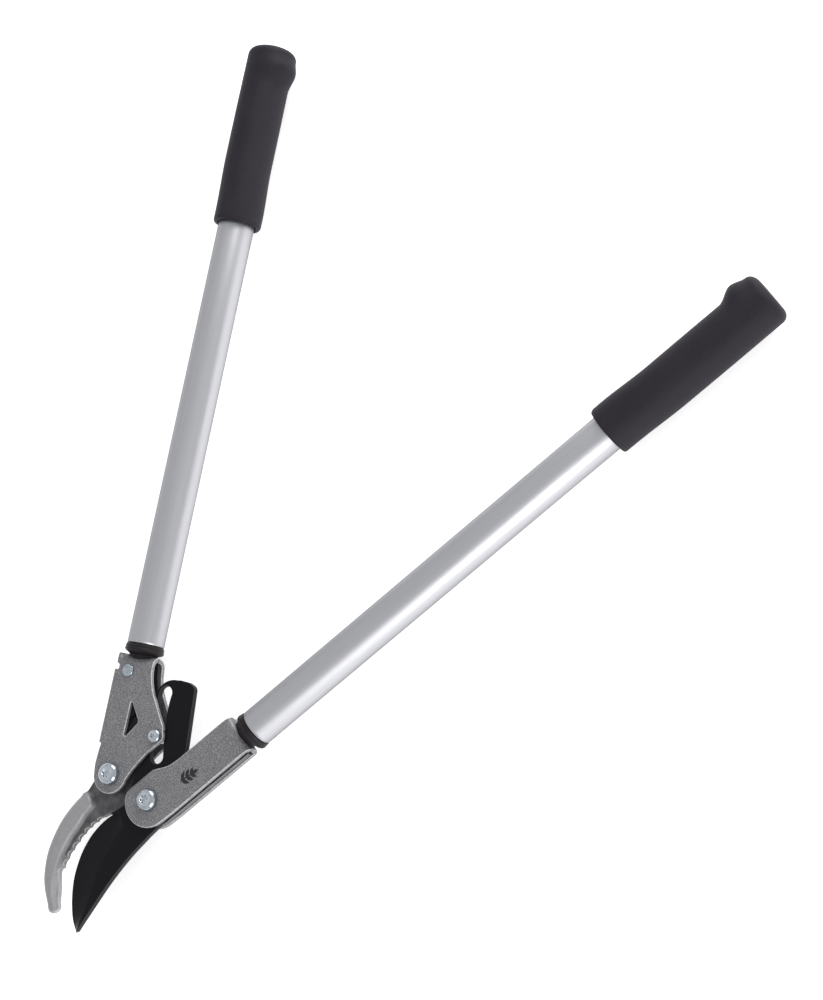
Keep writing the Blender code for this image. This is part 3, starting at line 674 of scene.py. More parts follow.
# %% Rings
def skin(rings, closed=False):
    """Faces over a stack of equal rings, with a fan on each end, or joined end to start."""
    rows, size = rings.shape[:2]
    points = rings.reshape(-1, 3)
    index = np.arange(size)
    after = np.roll(index, -1)
    starts = np.arange(rows if closed else rows - 1)[:, None] * size
    nexts = (starts + size) % (rows * size)
    quads = np.stack([starts + index, starts + after, nexts + after, nexts + index], -1)
    quads = quads.reshape(-1, 4).tolist()
    if closed:
        return points, quads
    first, last = len(points), len(points) + 1
    points = np.vstack([points, rings[0].mean(0), rings[-1].mean(0)])
    top = (rows - 1) * size
    fans = np.vstack([np.stack([np.full(size, first), after, index], 1),
                      np.stack([np.full(size, last), top + index, top + after], 1)]).tolist()
    return points, quads + fans


def standing(rows, at=(0.0, 0.0), size=72):
    """Rings about a vertical axis from (radius, z) rows; a radius may be a function of the angle."""
    a = np.linspace(0, 2 * np.pi, size, endpoint=False)
    made = []
    for radius, z in rows:
        r = radius(a) if callable(radius) else np.full(size, float(radius))
        x, y = at[0] + r * np.cos(a), at[1] + r * np.sin(a)
        made.append(np.stack([x, y, np.full(size, float(z))], 1))
    return np.array(made)


STOP_LEAN = math.radians(14.0)


def along_handle(rows, size=96):
    """Rings along a handle from (centre x, half width, half height, y, bump) rows.

    A bump swells the ring on one side as a squared cosine does, about a line a little above the side.
    """
    a = np.linspace(0, 2 * np.pi, size, endpoint=False)
    rows = np.asarray(rows, float)
    x0, rx, rz, y, bump = (rows[:, i:i + 1] for i in range(5))
    swell = np.abs(bump) * np.maximum(0.0, np.sign(bump) * np.cos(a + np.sign(bump) * STOP_LEAN)) ** 2
    return np.stack([x0 + (rx + swell) * np.cos(a), y + 0 * a, -(rz + swell) * np.sin(a)], -1)


# %% [markdown]
# ## Tubes and grips
#
# A tube is a closed section, outside and inside, carried once round the axis. A grip is one skin: it
# starts at the bottom of its bore, comes out over a rounded lip, swells and narrows along the hand, rises
# into a stop on the inner side near the end, and closes over the end.

# %% Handles
TUBE_R, TUBE_WALL, TUBE_START, TUBE_END = 12.5, 1.5, 88.3, 505.0
GRIP_START, GRIP_END, GRIP_R = 385.0, 515.0, 17.15
TUBE_X = {"left": 1.27, "right": 7.25}
STOP_SIDE = {"left": 1.0, "right": -1.0}
END_GAP = {"left": 0.4, "right": 1.7}
BODY = {"left": "left_handle", "right": "hook_side"}


def tube(side):
    """A section with bevelled corners, spun: outside up the tube, then back down the bore."""
    inner, x = TUBE_R - TUBE_WALL, TUBE_X[side]
    soft = 0.4
    section = [(inner + soft, TUBE_START), (TUBE_R - soft, TUBE_START), (TUBE_R, TUBE_START + soft),
               (TUBE_R, TUBE_START + 2), (TUBE_R, 200), (TUBE_R, 300), (TUBE_R, TUBE_END - soft),
               (TUBE_R - soft, TUBE_END), (inner + soft, TUBE_END), (inner, TUBE_END - soft),
               (inner, 300), (inner, 200), (inner, TUBE_START + 2), (inner, TUBE_START + soft)]
    rows = [(x, r, r, y, 0.0) for r, y in section]
    points, faces = skin(along_handle(rows, 128), closed=True)
    piece(f"tube_{side}", to_row(points, side), faces, ALUMINIUM[side], BODY[side], [f"{side}_tube"],
          "satin_aluminium")


def grip(side):
    """Each ring's half width and sideways shift are smooth steps of the distance along the grip.

    The stop on the inner side rises 28 mm from the end and falls again to half its height, and the last
    rings follow a quarter circle over the end's corner.
    """
    x, bore, sign = TUBE_X[side], TUBE_R + GAP, STOP_SIDE[side]
    last_y = GRIP_END - END_GAP[side]
    length = last_y - GRIP_START
    rows = [(0.0, bore, TUBE_END + GAP, 0.0), (0.0, bore, 440.0, 0.0), (0.0, bore, GRIP_START + 2.0, 0.0)]
    lean, outer = 0.3, GRIP_R - 0.85
    lip = [(0.2, bore + 0.35, 0.6), (0.6, bore + 1.2, 0.0), (1.0, outer - 1.3, 0.0),
           (lean - 0.2, outer - 0.4, 0.35), (lean - 0.1, outer + 0.1, 1.1), (lean, outer + 0.3, 2.2)]
    rows += [(shift, r, GRIP_START + v, 0.0) for shift, r, v in lip]
    v = np.linspace(3.6, length - 6.0, 90)
    shift = lean * (1 - soft_step(v, 8.0, 46.0)) - 1.1 * soft_step(v, 8.0, 46.0)
    radius = outer + 0.3 * (1 - soft_step(v, 4.0, 40.0)) + 0.25 * np.sin(np.pi * (v / length).clip(0, 1))
    back = length - v
    stop = 5.2 * soft_step(-back, -28.0, -15.5) - 2.6 * soft_step(-back, -15.5, -5.0)
    rows += [(a, r, GRIP_START + along, high) for a, r, along, high in zip(shift, radius, v, stop)]
    corner, last, high = 5.6, radius[-1], stop[-1]
    for t in np.radians(np.linspace(8, 84, 9)):
        wide, along = last - corner + corner * math.cos(t), last_y - corner + corner * math.sin(t)
        rows.append((shift[-1], wide, along, high * math.cos(t) ** 0.7))
    rows += [(shift[-1], last - corner - 1.0, last_y, 0.2), (shift[-1], 9.0, last_y, 0.0)]
    rows.append((shift[-1], 2.0, last_y, 0.0))
    made = [(x + sign * move, r, r, y, sign * high) for move, r, y, high in rows]
    points, faces = skin(along_handle(made, 112))
    piece(f"grip_{side}", to_row(points, side), faces, RUBBER[side], BODY[side], [f"{side}_grip"],
          "grip_rubber")


for side in ("left", "right"):
    tube(side)
    grip(side)

# %% [markdown]
# ## Inserts
#
# Each insert is a moulded plug. From the plates it comes out as an oval neck, steps up to a round collar
# with a shadow groove, and ends as a spigot inside the tube. The block between the plates is a slab.

# %% Inserts
CURL_START, CURL_R, NECK_Z = 73.5, 7.3, 5.6
NECK = {"left": (1.27, 11.0), "right": (6.1, 10.1)}
COLLAR_R, COLLAR_START, COLLAR_END = 13.2, 83.5, 88.0


def insert(side, block, low, high, holes=(), more=None):
    """The plug's rings go from oval to round; the block's slab is closed on its own and meets its root."""
    (cx, half), x, spigot = NECK[side], TUBE_X[side], TUBE_R - TUBE_WALL - GAP
    rows = [(cx, half - 1.0, 3.2, 71.4), (cx, half - 0.5, 3.8, 72.0), (cx, half, 4.0, 75.8)]
    rows += [(cx, half, NECK_Z - 0.5, 76.6), (cx, half, NECK_Z, 77.6), (cx, half, NECK_Z, 80.9)]
    flare = soft_step(np.linspace(0.0, 1.0, 7), 0.0, 1.0)
    wide = COLLAR_R - 0.5
    rows += [(cx + (x - cx) * f, half + (wide - half) * f, NECK_Z + (wide - NECK_Z) * f, y)
             for f, y in zip(flare, np.linspace(81.0, COLLAR_START - 0.3, 7))]
    rows += [(x, r, r, y) for r, y in
             ((COLLAR_R - 0.1, COLLAR_START), (COLLAR_R, COLLAR_START + 0.5), (COLLAR_R, 84.9),
              (COLLAR_R - 0.3, 85.2), (COLLAR_R - 0.25, 85.6), (COLLAR_R - 0.15, 85.9),
              (TUBE_R + 0.25, 87.3), (TUBE_R, COLLAR_END - 0.1), (TUBE_R - 0.4, COLLAR_END),
              (spigot + 0.2, COLLAR_END),
              (spigot, COLLAR_END + 0.2), (spigot, 110.0), (spigot - 2.0, 112.0))]
    rows = [(*row, 0.0) for row in rows]
    plug, plug_faces = skin(along_handle(rows))
    loops = [densified(block, 1.0), *holes]
    body, body_faces, _ = slab(loops, level(high), level(low), lambda p: np.full(len(p), 0.6), 2.5)
    both = np.vstack([plug, body])
    faces = plug_faces + [[i + len(plug) for i in face] for face in body_faces]
    if more:
        faces += [[i + len(both) for i in face] for face in more[1]]
        both = np.vstack([both, more[0]])
    piece(f"insert_{side}", to_row(both, side), faces, PLASTIC, BODY[side], [f"{side}_insert"],
          "black_plastic", sharp=50)


def packing():
    """What fills the gap between the left plates: a ring in (along, z) that ends round inside the curl.

    It is carried across the handle, and its last rings follow the slope of the plates' edge. It stays
    behind the blade's plane, because the blade's tail swings in over it.
    """
    high, front = PLATE_IN - GAP, BLADE_LOW - 0.4
    around = np.radians(np.linspace(-4.0, -90.0, 14))
    end = np.column_stack([CURL_START + (high - 0.2) * np.cos(around), high * np.sin(around)])
    ring = np.vstack([[(55.0, front)], end, [(55.0, -high)]])[::-1]
    along, z = densified(ring, 0.8).T
    edge = np.interp(along, (55.0, 60.0, 72.3, 78.0), (20.3, 18.3, 15.0, 14.4))
    middle = np.array([66.0, -2.0])
    rows = []
    for back, shrink in ((12.0, 0.0), (1.2, 0.0), (0.5, 0.02), (0.2, 0.06)):
        rows.append(np.column_stack([np.maximum(edge - back, 6.0), along + (middle[0] - along) * shrink,
                                     z + (middle[1] - z) * shrink]))
    return skin(np.array(rows))


RIVET_AT = (-3.0, 69.4)
left_block = rounded([(-12.4, 40.0, 1.5), (6.0, 40.0, 1.5), (7.6, 50.0, 4), (7.6, 72.4, 1.0),
                      (-10.6, 72.4, 1.0), (-10.6, 68.0, 1), (-12.4, 67.0, 1)])
insert("left", left_block, -PLATE_IN + GAP, PLATE_IN - GAP, [circle(RIVET_AT, 3.5)], packing())
right_block = rounded([(-7.0, 49.0, 1.5), (16.8, 49.0, 1.5), (16.8, 72.4, 1.0), (-7.0, 72.4, 1.0)])
insert("right", right_block, BLADE_LOW, PLATE_IN - GAP)

# %% [markdown]
# ## Brackets
#
# A bracket is sheet steel, so it is made the way a press makes it: a flat blank with rounded edges is cut
# out, and then every point of it is bent. Past a bend line the distance along the blank becomes an angle
# round the bend, and a point's depth in the sheet sets its radius. The ends curl in towards the neck, and
# each curl is cut back to the neck's oval.

# %% Bending
WEB_BEND_R, WEB_X = 4.0, -16.0
WEB_LINE = WEB_X + WEB_BEND_R
WEB_MIDDLE = WEB_LINE - WEB_BEND_R * math.pi / 2 - (PLATE_OUT - WEB_BEND_R)
SHEET = PLATE_OUT - PLATE_IN


def bent(blank, start, radius):
    """Blank points (q, s, depth) to space: the curl beyond start in s, and the web's bends in q."""
    q, s, depth = blank.T
    rear = q < WEB_MIDDLE
    q = np.where(rear, 2 * WEB_MIDDLE - q, q)
    over = np.maximum(0.0, s - start)
    curl = np.minimum(over / radius, math.pi / 2)
    y = np.where(over > 0, start + (radius + depth) * np.sin(curl), s)
    z = PLATE_OUT - radius + (radius + depth) * np.cos(curl) - np.maximum(0.0, over - radius * math.pi / 2)
    fold = ((WEB_LINE - q) / WEB_BEND_R).clip(0.0, math.pi / 2)
    straight = np.maximum(0.0, WEB_LINE - q - WEB_BEND_R * math.pi / 2)
    folded = q < WEB_LINE
    x = np.where(folded, WEB_LINE - (WEB_BEND_R + depth) * np.sin(fold), q)
    z = np.where(folded, PLATE_OUT - WEB_BEND_R + (WEB_BEND_R + depth) * np.cos(fold) - straight, z)
    return np.column_stack([x, y, np.where(rear, -z, z)])


def curl_edge(centre, half, start, radius, steps=36):
    """The blank's end round the neck: where the curl's outer face meets the oval of the neck's opening."""
    a = np.linspace(0.06, math.pi - 0.06, steps)
    z = (NECK_Z + GAP) * np.sin(a)
    rise = (z - PLATE_OUT + radius) / radius
    s = start + radius * np.arccos(rise.clip(0, 1)) + radius * np.maximum(0.0, -rise)
    return np.column_stack([centre + (half + GAP) * np.cos(a), s])


def blank_end(start, radius):
    """Where the blank ends, so that the two curls just fail to meet in the mid-plane."""
    return start + radius * math.pi / 2 + PLATE_OUT - radius - 0.3


# %% Left bracket
LEFT_LOBE_R, GUIDE_LOBE_R = 13.0, 6.1
PIVOT_HOLE, GUIDE_HOLE, RIVET_HOLE = 4.3, 2.8, 3.5
SHEET_EDGE_R, SHEET_SPACING, WEB_TOP = 0.55, 1.25, 69.3
guide_at = on_left(ROLLER_AT)


def left_bracket():
    """Half of the blank is drawn from the web's middle line; the other half is its mirror image."""
    edge = [on_left(p) for p in ((-22.3, 10.1), (-20.1, 20.1), (-18.3, 26.0))]
    shoulder = [on_left(p) for p in ((-18.2, 44.6), (-25.2, 49.4), (-33.0, 55.1), (-40.6, 61.0),
                                       (-46.0, 67.3), (-48.9, 72.5))]
    lobe = arc((0, 0), LEFT_LOBE_R, 184, 352, 40)
    below = guide_at + GUIDE_LOBE_R * np.array([math.cos(-0.35), math.sin(-0.35)])
    side = through([lobe[-1], *edge, below], 8)
    tip = arc(guide_at, GUIDE_LOBE_R, -20, 38, 12)
    upper = through([tip[-1], *shoulder, (15.2, 79.0)], 8)
    centre, half = NECK["left"]
    mouth = curl_edge(centre, half, CURL_START, CURL_R)
    end = blank_end(CURL_START, CURL_R)
    head = rounded([(15.2, 79.5, 0), (14.3, end, 1.0), (centre + 11.3, end, 0)], 6)[1:-1]
    back = rounded([(-10.3, end, 0), (-11.9, end - 0.8, 2.0), (-14.0, end - 4.6, 3.0), (-13.9, 73.4, 1.2),
                    (-11.4, 72.6, 0.9), (-11.2, WEB_TOP, 0.9), (WEB_MIDDLE, WEB_TOP, 0),
                    (WEB_MIDDLE, 19.1, 0), (-12.4, 19.1, 1.0), (-13.2, 14.5, 3.0), (-14.0, 5.0, 5.0),
                    (-12.97, -1.0, 0)], 6)
    split = int(np.argmin(np.abs(back[:, 0] - WEB_MIDDLE) + np.abs(back[:, 1] - WEB_TOP)))
    front = np.vstack([back[split + 2:-1], lobe, side[1:], tip[1:], upper[1:], head, mouth[1:-1],
                       back[1:split]])
    rear = front[::-1] * (-1, 1) + (2 * WEB_MIDDLE, 0)
    outline = densified(np.vstack([front, rear]), 0.9)
    holes = [circle((0, 0), PIVOT_HOLE), circle(guide_at, GUIDE_HOLE), circle(RIVET_AT, RIVET_HOLE)]
    holes += [hole[::-1] * (-1, 1) + (2 * WEB_MIDDLE, 0) for hole in holes]
    window = rounded([(*on_left(at), r) for at, r in
                      (((-41.0, 21.7), 1.2), ((-50.8, 47.0), 0.8), ((-36.8, 37.5), 2.5))])
    loops = [outline, *holes, densified(window, 0.9)]
    flat, faces, wear = slab(loops, level(0.0), level(-SHEET), level(SHEET_EDGE_R), SHEET_SPACING)
    points = to_row(bent(flat, CURL_START, CURL_R), "left")
    piece("bracket_left", points, faces, COAT, "left_handle", ["left_bracket"], "coated_steel", wear=wear)


left_bracket()

# %% Right brackets
RIGHT_LOBE_R = 18.0
RIGHT_CURL = (74.6, 4.2)


def right_bracket(name, side):
    """One of two loose plates; the rear one is the front one mirrored in the mid-plane."""
    centre, half = NECK["right"]
    lobe = arc((0, 0), RIGHT_LOBE_R, -171, -2, 60)
    shape = through([(-8.5, 40.0), (-8.5, 34.0), (-9.0, 27.3), (-10.2, 22.3), (-13.1, 16.4), (-16.2, 10.9),
                     (-17.8, 3.6), lobe[0]], 8)
    end = blank_end(*RIGHT_CURL)
    head = rounded([(18.2, 60, 0), (18.4, end, 3.0), (centre + half + 0.3, end, 0)])[1:-1]
    mouth = curl_edge(centre, half, *RIGHT_CURL)
    back = rounded([(centre - half - 0.31, end, 0), (-8.2, end, 3.0), (-8.5, 70.0, 0)])[1:]
    outline = np.vstack([lobe, [(18.4, 10.0)], head, mouth[1:-1], back, shape[:-1]])
    loops = [densified(outline, 0.9), circle((0, 0), PIVOT_HOLE)]
    flat, faces, wear = slab(loops, level(0.0), level(-SHEET), level(SHEET_EDGE_R), SHEET_SPACING)
    points = bent(flat, *RIGHT_CURL)
    if side < 0:
        points[:, 2] *= -1
        faces = [face[::-1] for face in faces]
    piece(name, to_row(points, "right"), faces, COAT, "hook_side", [f"right_{name}"], "coated_steel",
          wear=wear)


right_bracket("bracket_front", 1)
right_bracket("bracket_rear", -1)

# %% [markdown]
# ## Hook
#
# The hook's flat body carries both pivots and reaches up between the right plates as an arm. Its jaw is
# raised beside the blade, with a step just outside the line of the shut blade's edge, and its inner edge
# is cut into scallops that hold a branch. The step and the rounded back are heights over the plan.

# %% Hook
BLADE_EDGE = np.array([(-20.0, -20.0), (-25.3, -30.7), (-28.2, -42.0), (-28.6, -52.0), (-27.4, -61.5),
                       (-23.7, -73.5), (-17.6, -84.5), (-8.9, -95.2), (-0.4, -101.3)])
JAW_BACK = [(-49.3, -23.0), (-52.6, -34.9), (-54.3, -47.0), (-53.7, -58.9), (-51.3, -70.9), (-46.5, -81.6),
            (-39.3, -92.6), (-31.8, -99.8)]
JAW_TIP, JAW_TIP_R = (-27.0, -97.55), 5.0
JAW_THROAT = [(-28.4, -29.6), (-24.0, -24.4), (-14.0, -17.6)]
TOOTH_PEAKS = np.array([(-36.2, -78.5), (-35.9, -73.5), (-36.9, -66.8), (-36.9, -60.1), (-36.2, -53.4),
                        (-35.3, -46.5), (-33.6, -40.6), (-31.4, -35.0), (-28.4, -29.6)])
TOOTH_DEPTH, TOOTH_LEDGE = 1.0, 2.0
STEP_GAP = 1.3


def scallops():
    """Between each pair of peaks the edge dips by half a sine wave."""
    t = np.linspace(0, 1, 10, endpoint=False)[None, :, None]
    a, b = TOOTH_PEAKS[:-1, None], TOOTH_PEAKS[1:, None]
    line = a + (b - a) * t
    line[..., 0] -= TOOTH_DEPTH * np.sin(np.pi * t[..., 0]) ** 0.8
    return line.reshape(-1, 2)


def hook():
    """One slab: its outline runs down the jaw's back, round the tip, up the teeth and out along the arm."""
    lobe_r, arm_end, arm_x, root = RIGHT_LOBE_R - 0.2, CURL_START + 0.6, -1.0, CURL_START - 3.1
    back = through(JAW_BACK, 8)
    tip = arc(JAW_TIP, JAW_TIP_R, -148, 28, 30)
    inner = through([tip[-1], (-26.4, -91.6), (-32.0, -84.0), TOOTH_PEAKS[0]], 8)
    throat = through(JAW_THROAT, 8)
    rim = through(TOOTH_PEAKS + (-TOOTH_DEPTH - 0.15, 0.0), 6)
    lobe = arc((0, 0), lobe_r, -115, -HALF_SPREAD, 30)
    arm = turned(rounded([(lobe_r, 5, 0), (lobe_r, arm_end, 0.8), (16.2, arm_end, 0.5), (16.2, root, 0.5),
                          (arm_x, root, 1.0), (arm_x, 31.0, 6.0), (-6.0, 20.0, 0)]), -HALF_SPREAD)
    boss = arc(HOOK_PIVOT, LEFT_LOBE_R, 80, 180, 30)
    outline = np.vstack([back[:-1], tip, inner[1:-1], scallops(), throat, lobe, arm, [(-9.0, 14.6)], boss,
                         [(-49.0, -17.0)]])
    outline = densified(outline, 0.8)
    shut = through(turned(BLADE_EDGE[3:], BLADE_TURN * CLOSING)[::-1], 6)
    normal = unit(np.gradient(shut, axis=0)) @ np.array([[0, 1], [-1, 0]])
    step = np.vstack([shut + normal * STEP_GAP, through([(-39.6, -36.0), (-38.4, -29.0), (-39.5, -25.2),
                                                         (-44.0, -23.0), (-50.5, -22.6)], 6)])
    raised = np.vstack([back[:-1] - (1.5, 0), arc(JAW_TIP, JAW_TIP_R + 1.5, -146, -62, 10), step])

    def lift(points):
        """0 in the recess and 1 on the raised jaw: a soft step of the distance to the line between them."""
        away = distance(points, step)
        return soft_step(np.where(inside(points, raised), away, -away), -1.1, 1.9)

    def top(points):
        """The recess, plus the jaw's rise with its crowned back, less its falling tip and the ledge."""
        crown = 0.9 * soft_step(distance(points, back), 0.5, 6.5)
        low_tip = 3.0 * soft_step(-points[:, 1], 84.0, 102.5)
        beyond = distance(points, rim) * np.sign(points[:, 0] - np.interp(points[:, 1], *rim.T[::-1]))
        ledge = TOOTH_LEDGE * soft_step(beyond, 0.0, 0.5) * soft_step(-points[:, 1], 27.0, 32.0)
        ledge *= 1 - soft_step(-points[:, 1], 77.5, 80.0)
        return HOOK_HIGH + (JAW_HIGH - HOOK_HIGH - 0.9 + crown - low_tip) * lift(points) - ledge

    def bottom(points):
        """Flat, then a smooth rise towards the tip."""
        return HOOK_LOW + 1.3 * soft_step(-points[:, 1], 86.0, 103.0)

    def edge(points):
        """The edge's radius: small at the body, large down the jaw's back and round its tip."""
        rounded_back = 1.7 * soft_step(-points[:, 1], 22.0, 28.0) * (distance(points, back) < 0.6)
        return 0.35 + np.maximum(rounded_back, 1.7 * soft_step(-points[:, 1], 88.0, 97.0))

    loops = [outline, circle(HOOK_PIVOT, PIVOT_HOLE), circle((0, 0), PIVOT_HOLE)]
    points, faces, wear = slab(loops, top, bottom, edge, 0.75)
    # The raised attribute carries the painted shade: 0 in the recess and on the underside, 1 on the jaw and
    # near the tip.
    high = lift(points[:, :2]) * (points[:, 2] > HOOK_HIGH + 0.05)
    near_tip = soft_step(-points[:, 1], 60.0, 84.0)
    piece("counter_blade", to_row(points), faces, FORGED, "hook_side", ["hook"], "cast_steel", wear=wear,
          raised=np.maximum(high, near_tip))


hook()

# %% [markdown]
# ## Blade
#
# The blade is one flat piece: a curved cutting part, a boss round the pivot, and a tail with the slot.
# The slot is the path of the roller as the blade sees it, so it is worked out from the same motion that
# the joints have. The cutting part is ground hollow from a ridge down to a thin edge.

# %% Slot
ROLLER_R, SHOULDER_R = 4.4, 3.1
SLOT_RIM, SLOT_OVERRUN = 3.8, 1.8


def roller_path(degrees):
    """The roller turns with the left handle about the hook's pivot, and is then seen from the blade."""
    angles = np.atleast_1d(degrees)
    return np.vstack([turned(turned(ROLLER_AT[None], a, HOOK_PIVOT), -BLADE_TURN * a) for a in angles])


def slot_loop():
    """The path widened to both sides by the roller's radius and a running gap, with round ends."""
    half = ROLLER_R + GAP
    path = roller_path(np.linspace(CLOSING - SLOT_OVERRUN, OPENING + SLOT_OVERRUN, 60))
    normal = unit(np.gradient(path, axis=0)) @ np.array([[0, 1], [-1, 0]])
    a = math.degrees(math.atan2(*normal[0][::-1]))
    b = math.degrees(math.atan2(*-normal[-1][::-1]))
    return np.vstack([arc(path[0], half, a, a + 180, 24), (path - normal * half)[1:-1],
                      arc(path[-1], half, b, b + 180, 24), (path + normal * half)[-2:0:-1]])[::-1]


# %% Blade
BLADE_SPINE = [(1.2, -99.3), (2.0, -88.0), (4.0, -61.3), (7.3, -40.0), (12.0, -21.3), (15.3, -10.0),
               (16.4, -2.0), (15.4, 9.0), (11.0, 25.0), (3.3, 42.7)]
RIDGE = through([(-8.6, -18.0), (-8.6, -40.0), (-8.4, -54.0), (-6.0, -65.5), (-1.8, -83.0), (1.0, -99.0),
                 (1.6, -104.0)], 8)
EDGE_THICK, RUN_OUT_R = 0.35, 26.0


def blade():
    """Height across the bevel is the share of the way from the edge to the ridge, a little hollow."""
    rim = ROLLER_R + GAP + SLOT_RIM
    angles = np.array([-20.0, -10.0, 5.0, 20.0, 35.0, 48.0])
    here = roller_path(angles)
    normal = unit(roller_path(angles + 1.0) - here) @ np.array([[0, 1], [-1, 0]])
    cutting = through(BLADE_EDGE, 10)
    spine = through(BLADE_SPINE, 8)
    tip = (cutting[-1] + spine[0]) / 2
    tail = np.vstack([arc((-17.0, 73.4), 4.6, 28, 88, 12), [(-19.9, 78.0)],
                      through([(-23.6, 76.9), (-27.0, 75.8)], 4), arc((-24.4, 61.2), 14.2, 108, 186, 24)])
    heel = through([*(here + normal * rim)[::-1], (-21.2, 12.0), (-20.2, 5.0), (-17.4, -4.0), (-15.6, -9.0),
                    (-16.4, -13.5), (-19.6, -19.4)], 6)
    outline = densified(np.vstack([cutting, spine, tail, heel[:-1]]), 0.8)
    edge_line = cutting[4:]

    def top(points):
        """The flat's level, or the bevel's, which a soft step round the pivot brings up to the flat."""
        to_edge, to_ridge = distance(points, edge_line), distance(points, RIDGE)
        share = to_edge / (to_edge + to_ridge).clip(1e-9)
        side = inside(points, np.vstack([edge_line + (-3, -1), [(-4.0, -106.0)], RIDGE[::-1]]))
        full = BLADE_HIGH - BLADE_LOW
        ground = EDGE_THICK + (full - EDGE_THICK) * share ** 1.18
        run_out = soft_step(np.linalg.norm(points, axis=1), RUN_OUT_R - 1.2, RUN_OUT_R + 2.0)
        return BLADE_LOW + np.where(side, full + (ground - full) * run_out, full)

    def edge(points):
        """The edge's radius goes from nearly nothing at the tip to 0.4 mm."""
        return 0.05 + 0.35 * soft_step(np.linalg.norm(points - tip, axis=1), 1.0, 9.0)

    loops = [outline, slot_loop(), circle((0, 0), 6.6)]
    points, faces, wear = slab(loops, top, level(BLADE_LOW), edge, 1.2)
    piece("cutting_blade", to_row(points), faces, BLACK, "blade", ["blade"], "blade_coating", wear=wear)


blade()

# %% [markdown]
# ## A printed mark
#
# The right front plate carries a small dark mark. Here it is a plain sprig of leaves, printed in a paint
# layer that is thin but real, so that it has a shape of its own and not just a colour. Each leaf is a
# line whose width swells and closes as a sine does.


# %% Leaf mark
def leaf(root, angle, length, width):
    """Half width along the leaf: width times the sine of the share of the way, pulled towards the root."""
    t = np.linspace(0.0, 1.0, 18)
    half = width * np.sin(np.pi * t ** 0.8)
    there, back = (np.column_stack([t * length, sign * half]) for sign in (-1, 1))
    outline = np.vstack([there, back[::-1][1:-1]])
    return turned(outline, angle) + np.asarray(root)


PAINT = 0.12


def sprig():
    """A stem with pairs of leaves and one at its end, each a thin slab on the plate's face."""
    root, stem, angle = np.array([4.9, 26.2]), 13.0, 84.0
    shapes = [leaf(root, angle, stem, 0.5)]
    for share, length in ((0.12, 6.4), (0.42, 6.0), (0.72, 4.8)):
        at = root + turned([[stem * share, 0.0]], angle)[0]
        shapes += [leaf(at, angle + 46.0, length, 1.2), leaf(at, angle - 46.0, length, 1.2)]
    shapes.append(leaf(root + turned([[stem * 0.84, 0.0]], angle)[0], angle, 4.8, 1.1))
    points, faces = [], []
    low, high = PLATE_OUT - 0.02, PLATE_OUT + PAINT
    for k, shape in enumerate(shapes):
        flat, triangles = filled([shape], 0.8)
        step, base = 0.002 * k, sum(len(p) for p in points)
        points += [np.column_stack([flat, np.full(len(flat), low)]),
                   np.column_stack([flat, np.full(len(flat), high + step)])]
        size, index = len(shape), np.arange(len(shape))
        after = np.roll(index, -1)
        upper = base + len(flat)
        faces += (base + triangles[:, ::-1]).tolist() + (upper + triangles).tolist()
        faces += np.stack([base + index, base + after, upper + after, upper + index], 1).tolist()
    piece("sprig_mark", to_row(np.vstack(points), "right"), faces, INK, "hook_side", [], "black_plastic")


sprig()

# %% [markdown]
# ## Screws, nuts and the roller
#
# A button head is turned, with a six-lobed socket: near the middle the ring's radius rises and falls six
# times round the circle. A lock nut is a hexagon whose corners are cut by a cone, with a round collar for
# its locking ring.


# %% Hardware shapes
def lobed(radius):
    """A radius that rises and falls by 13 per cent six times round the circle."""
    return lambda a: radius * (1 + 0.13 * np.cos(6 * a))


def hexagon(across, limit):
    """A hexagon's radius at each angle, never more than the limit that a chamfer leaves."""
    return lambda a: np.minimum(across / 2 / np.cos((a + math.pi / 6) % (math.pi / 3) - math.pi / 6), limit)


def screw(name, node, at, body, side, shank, head_r, head, end, shoulder=None):
    """From the tip up the shank, out under the head, over the dome and down into the socket."""
    seat = PLATE_OUT + GAP
    top = seat + head
    rows = [(shank - 0.7, end), (shank, end + 0.7)]
    if shoulder:
        inner = PLATE_IN - GAP
        rows += [(shank, -inner), (shoulder, -inner), (shoulder, inner), (shank, inner)]
    rows += [(shank, seat), (head_r - 0.35, seat), (head_r, seat + 0.3), (head_r, seat + head * 0.22)]
    a = np.radians(np.linspace(12, 78, 9))
    rows += [(head_r * (0.52 + 0.48 * math.cos(t)), seat + head * (0.22 + 0.78 * math.sin(t))) for t in a]
    socket = head_r * 0.38
    rows += [(head_r * 0.53, top), (lobed(socket * 1.06), top), (lobed(socket), top - 0.15)]
    rows += [(lobed(socket), top - head * 0.5), (lobed(socket * 0.92), top - head * 0.55),
             (0.3, top - head * 0.62)]
    points, faces = skin(standing(rows, at))
    wear = np.repeat([0.0] * (len(rows) - 7) + [0.3, 0.6, 1.0, 1.0, 0.2, 0.0, 0.0], 72)
    piece(name, to_row(points, side), faces, ZINC, body, [node], "zinc_plate", sharp=35,
          wear=np.append(wear, [0, 0]))


def lock_nut(name, node, at, body, side, hole, across, height, top):
    """Closed ring section: outer flats with chamfers, a round collar, and the bore."""
    corner = across / math.sqrt(3)
    flat = top - height * 0.7
    rows = [(hole + GAP + 0.4, top), (hole + GAP, top - 0.4), (hole + GAP, top - height + 0.3),
            (hole + GAP + 0.5, top - height), (across * 0.42, top - height),
            (across * 0.455, top - height + 0.5), (across * 0.46, flat),
            (hexagon(across, corner * 0.93), flat), (hexagon(across, corner), flat + 0.7),
            (hexagon(across, corner), top - 0.5), (hexagon(across, corner * 0.95), top)]
    points, faces = skin(standing(rows, at), closed=True)
    piece(name, to_row(points, side), faces, ZINC, body, [node], "zinc_plate", sharp=35)


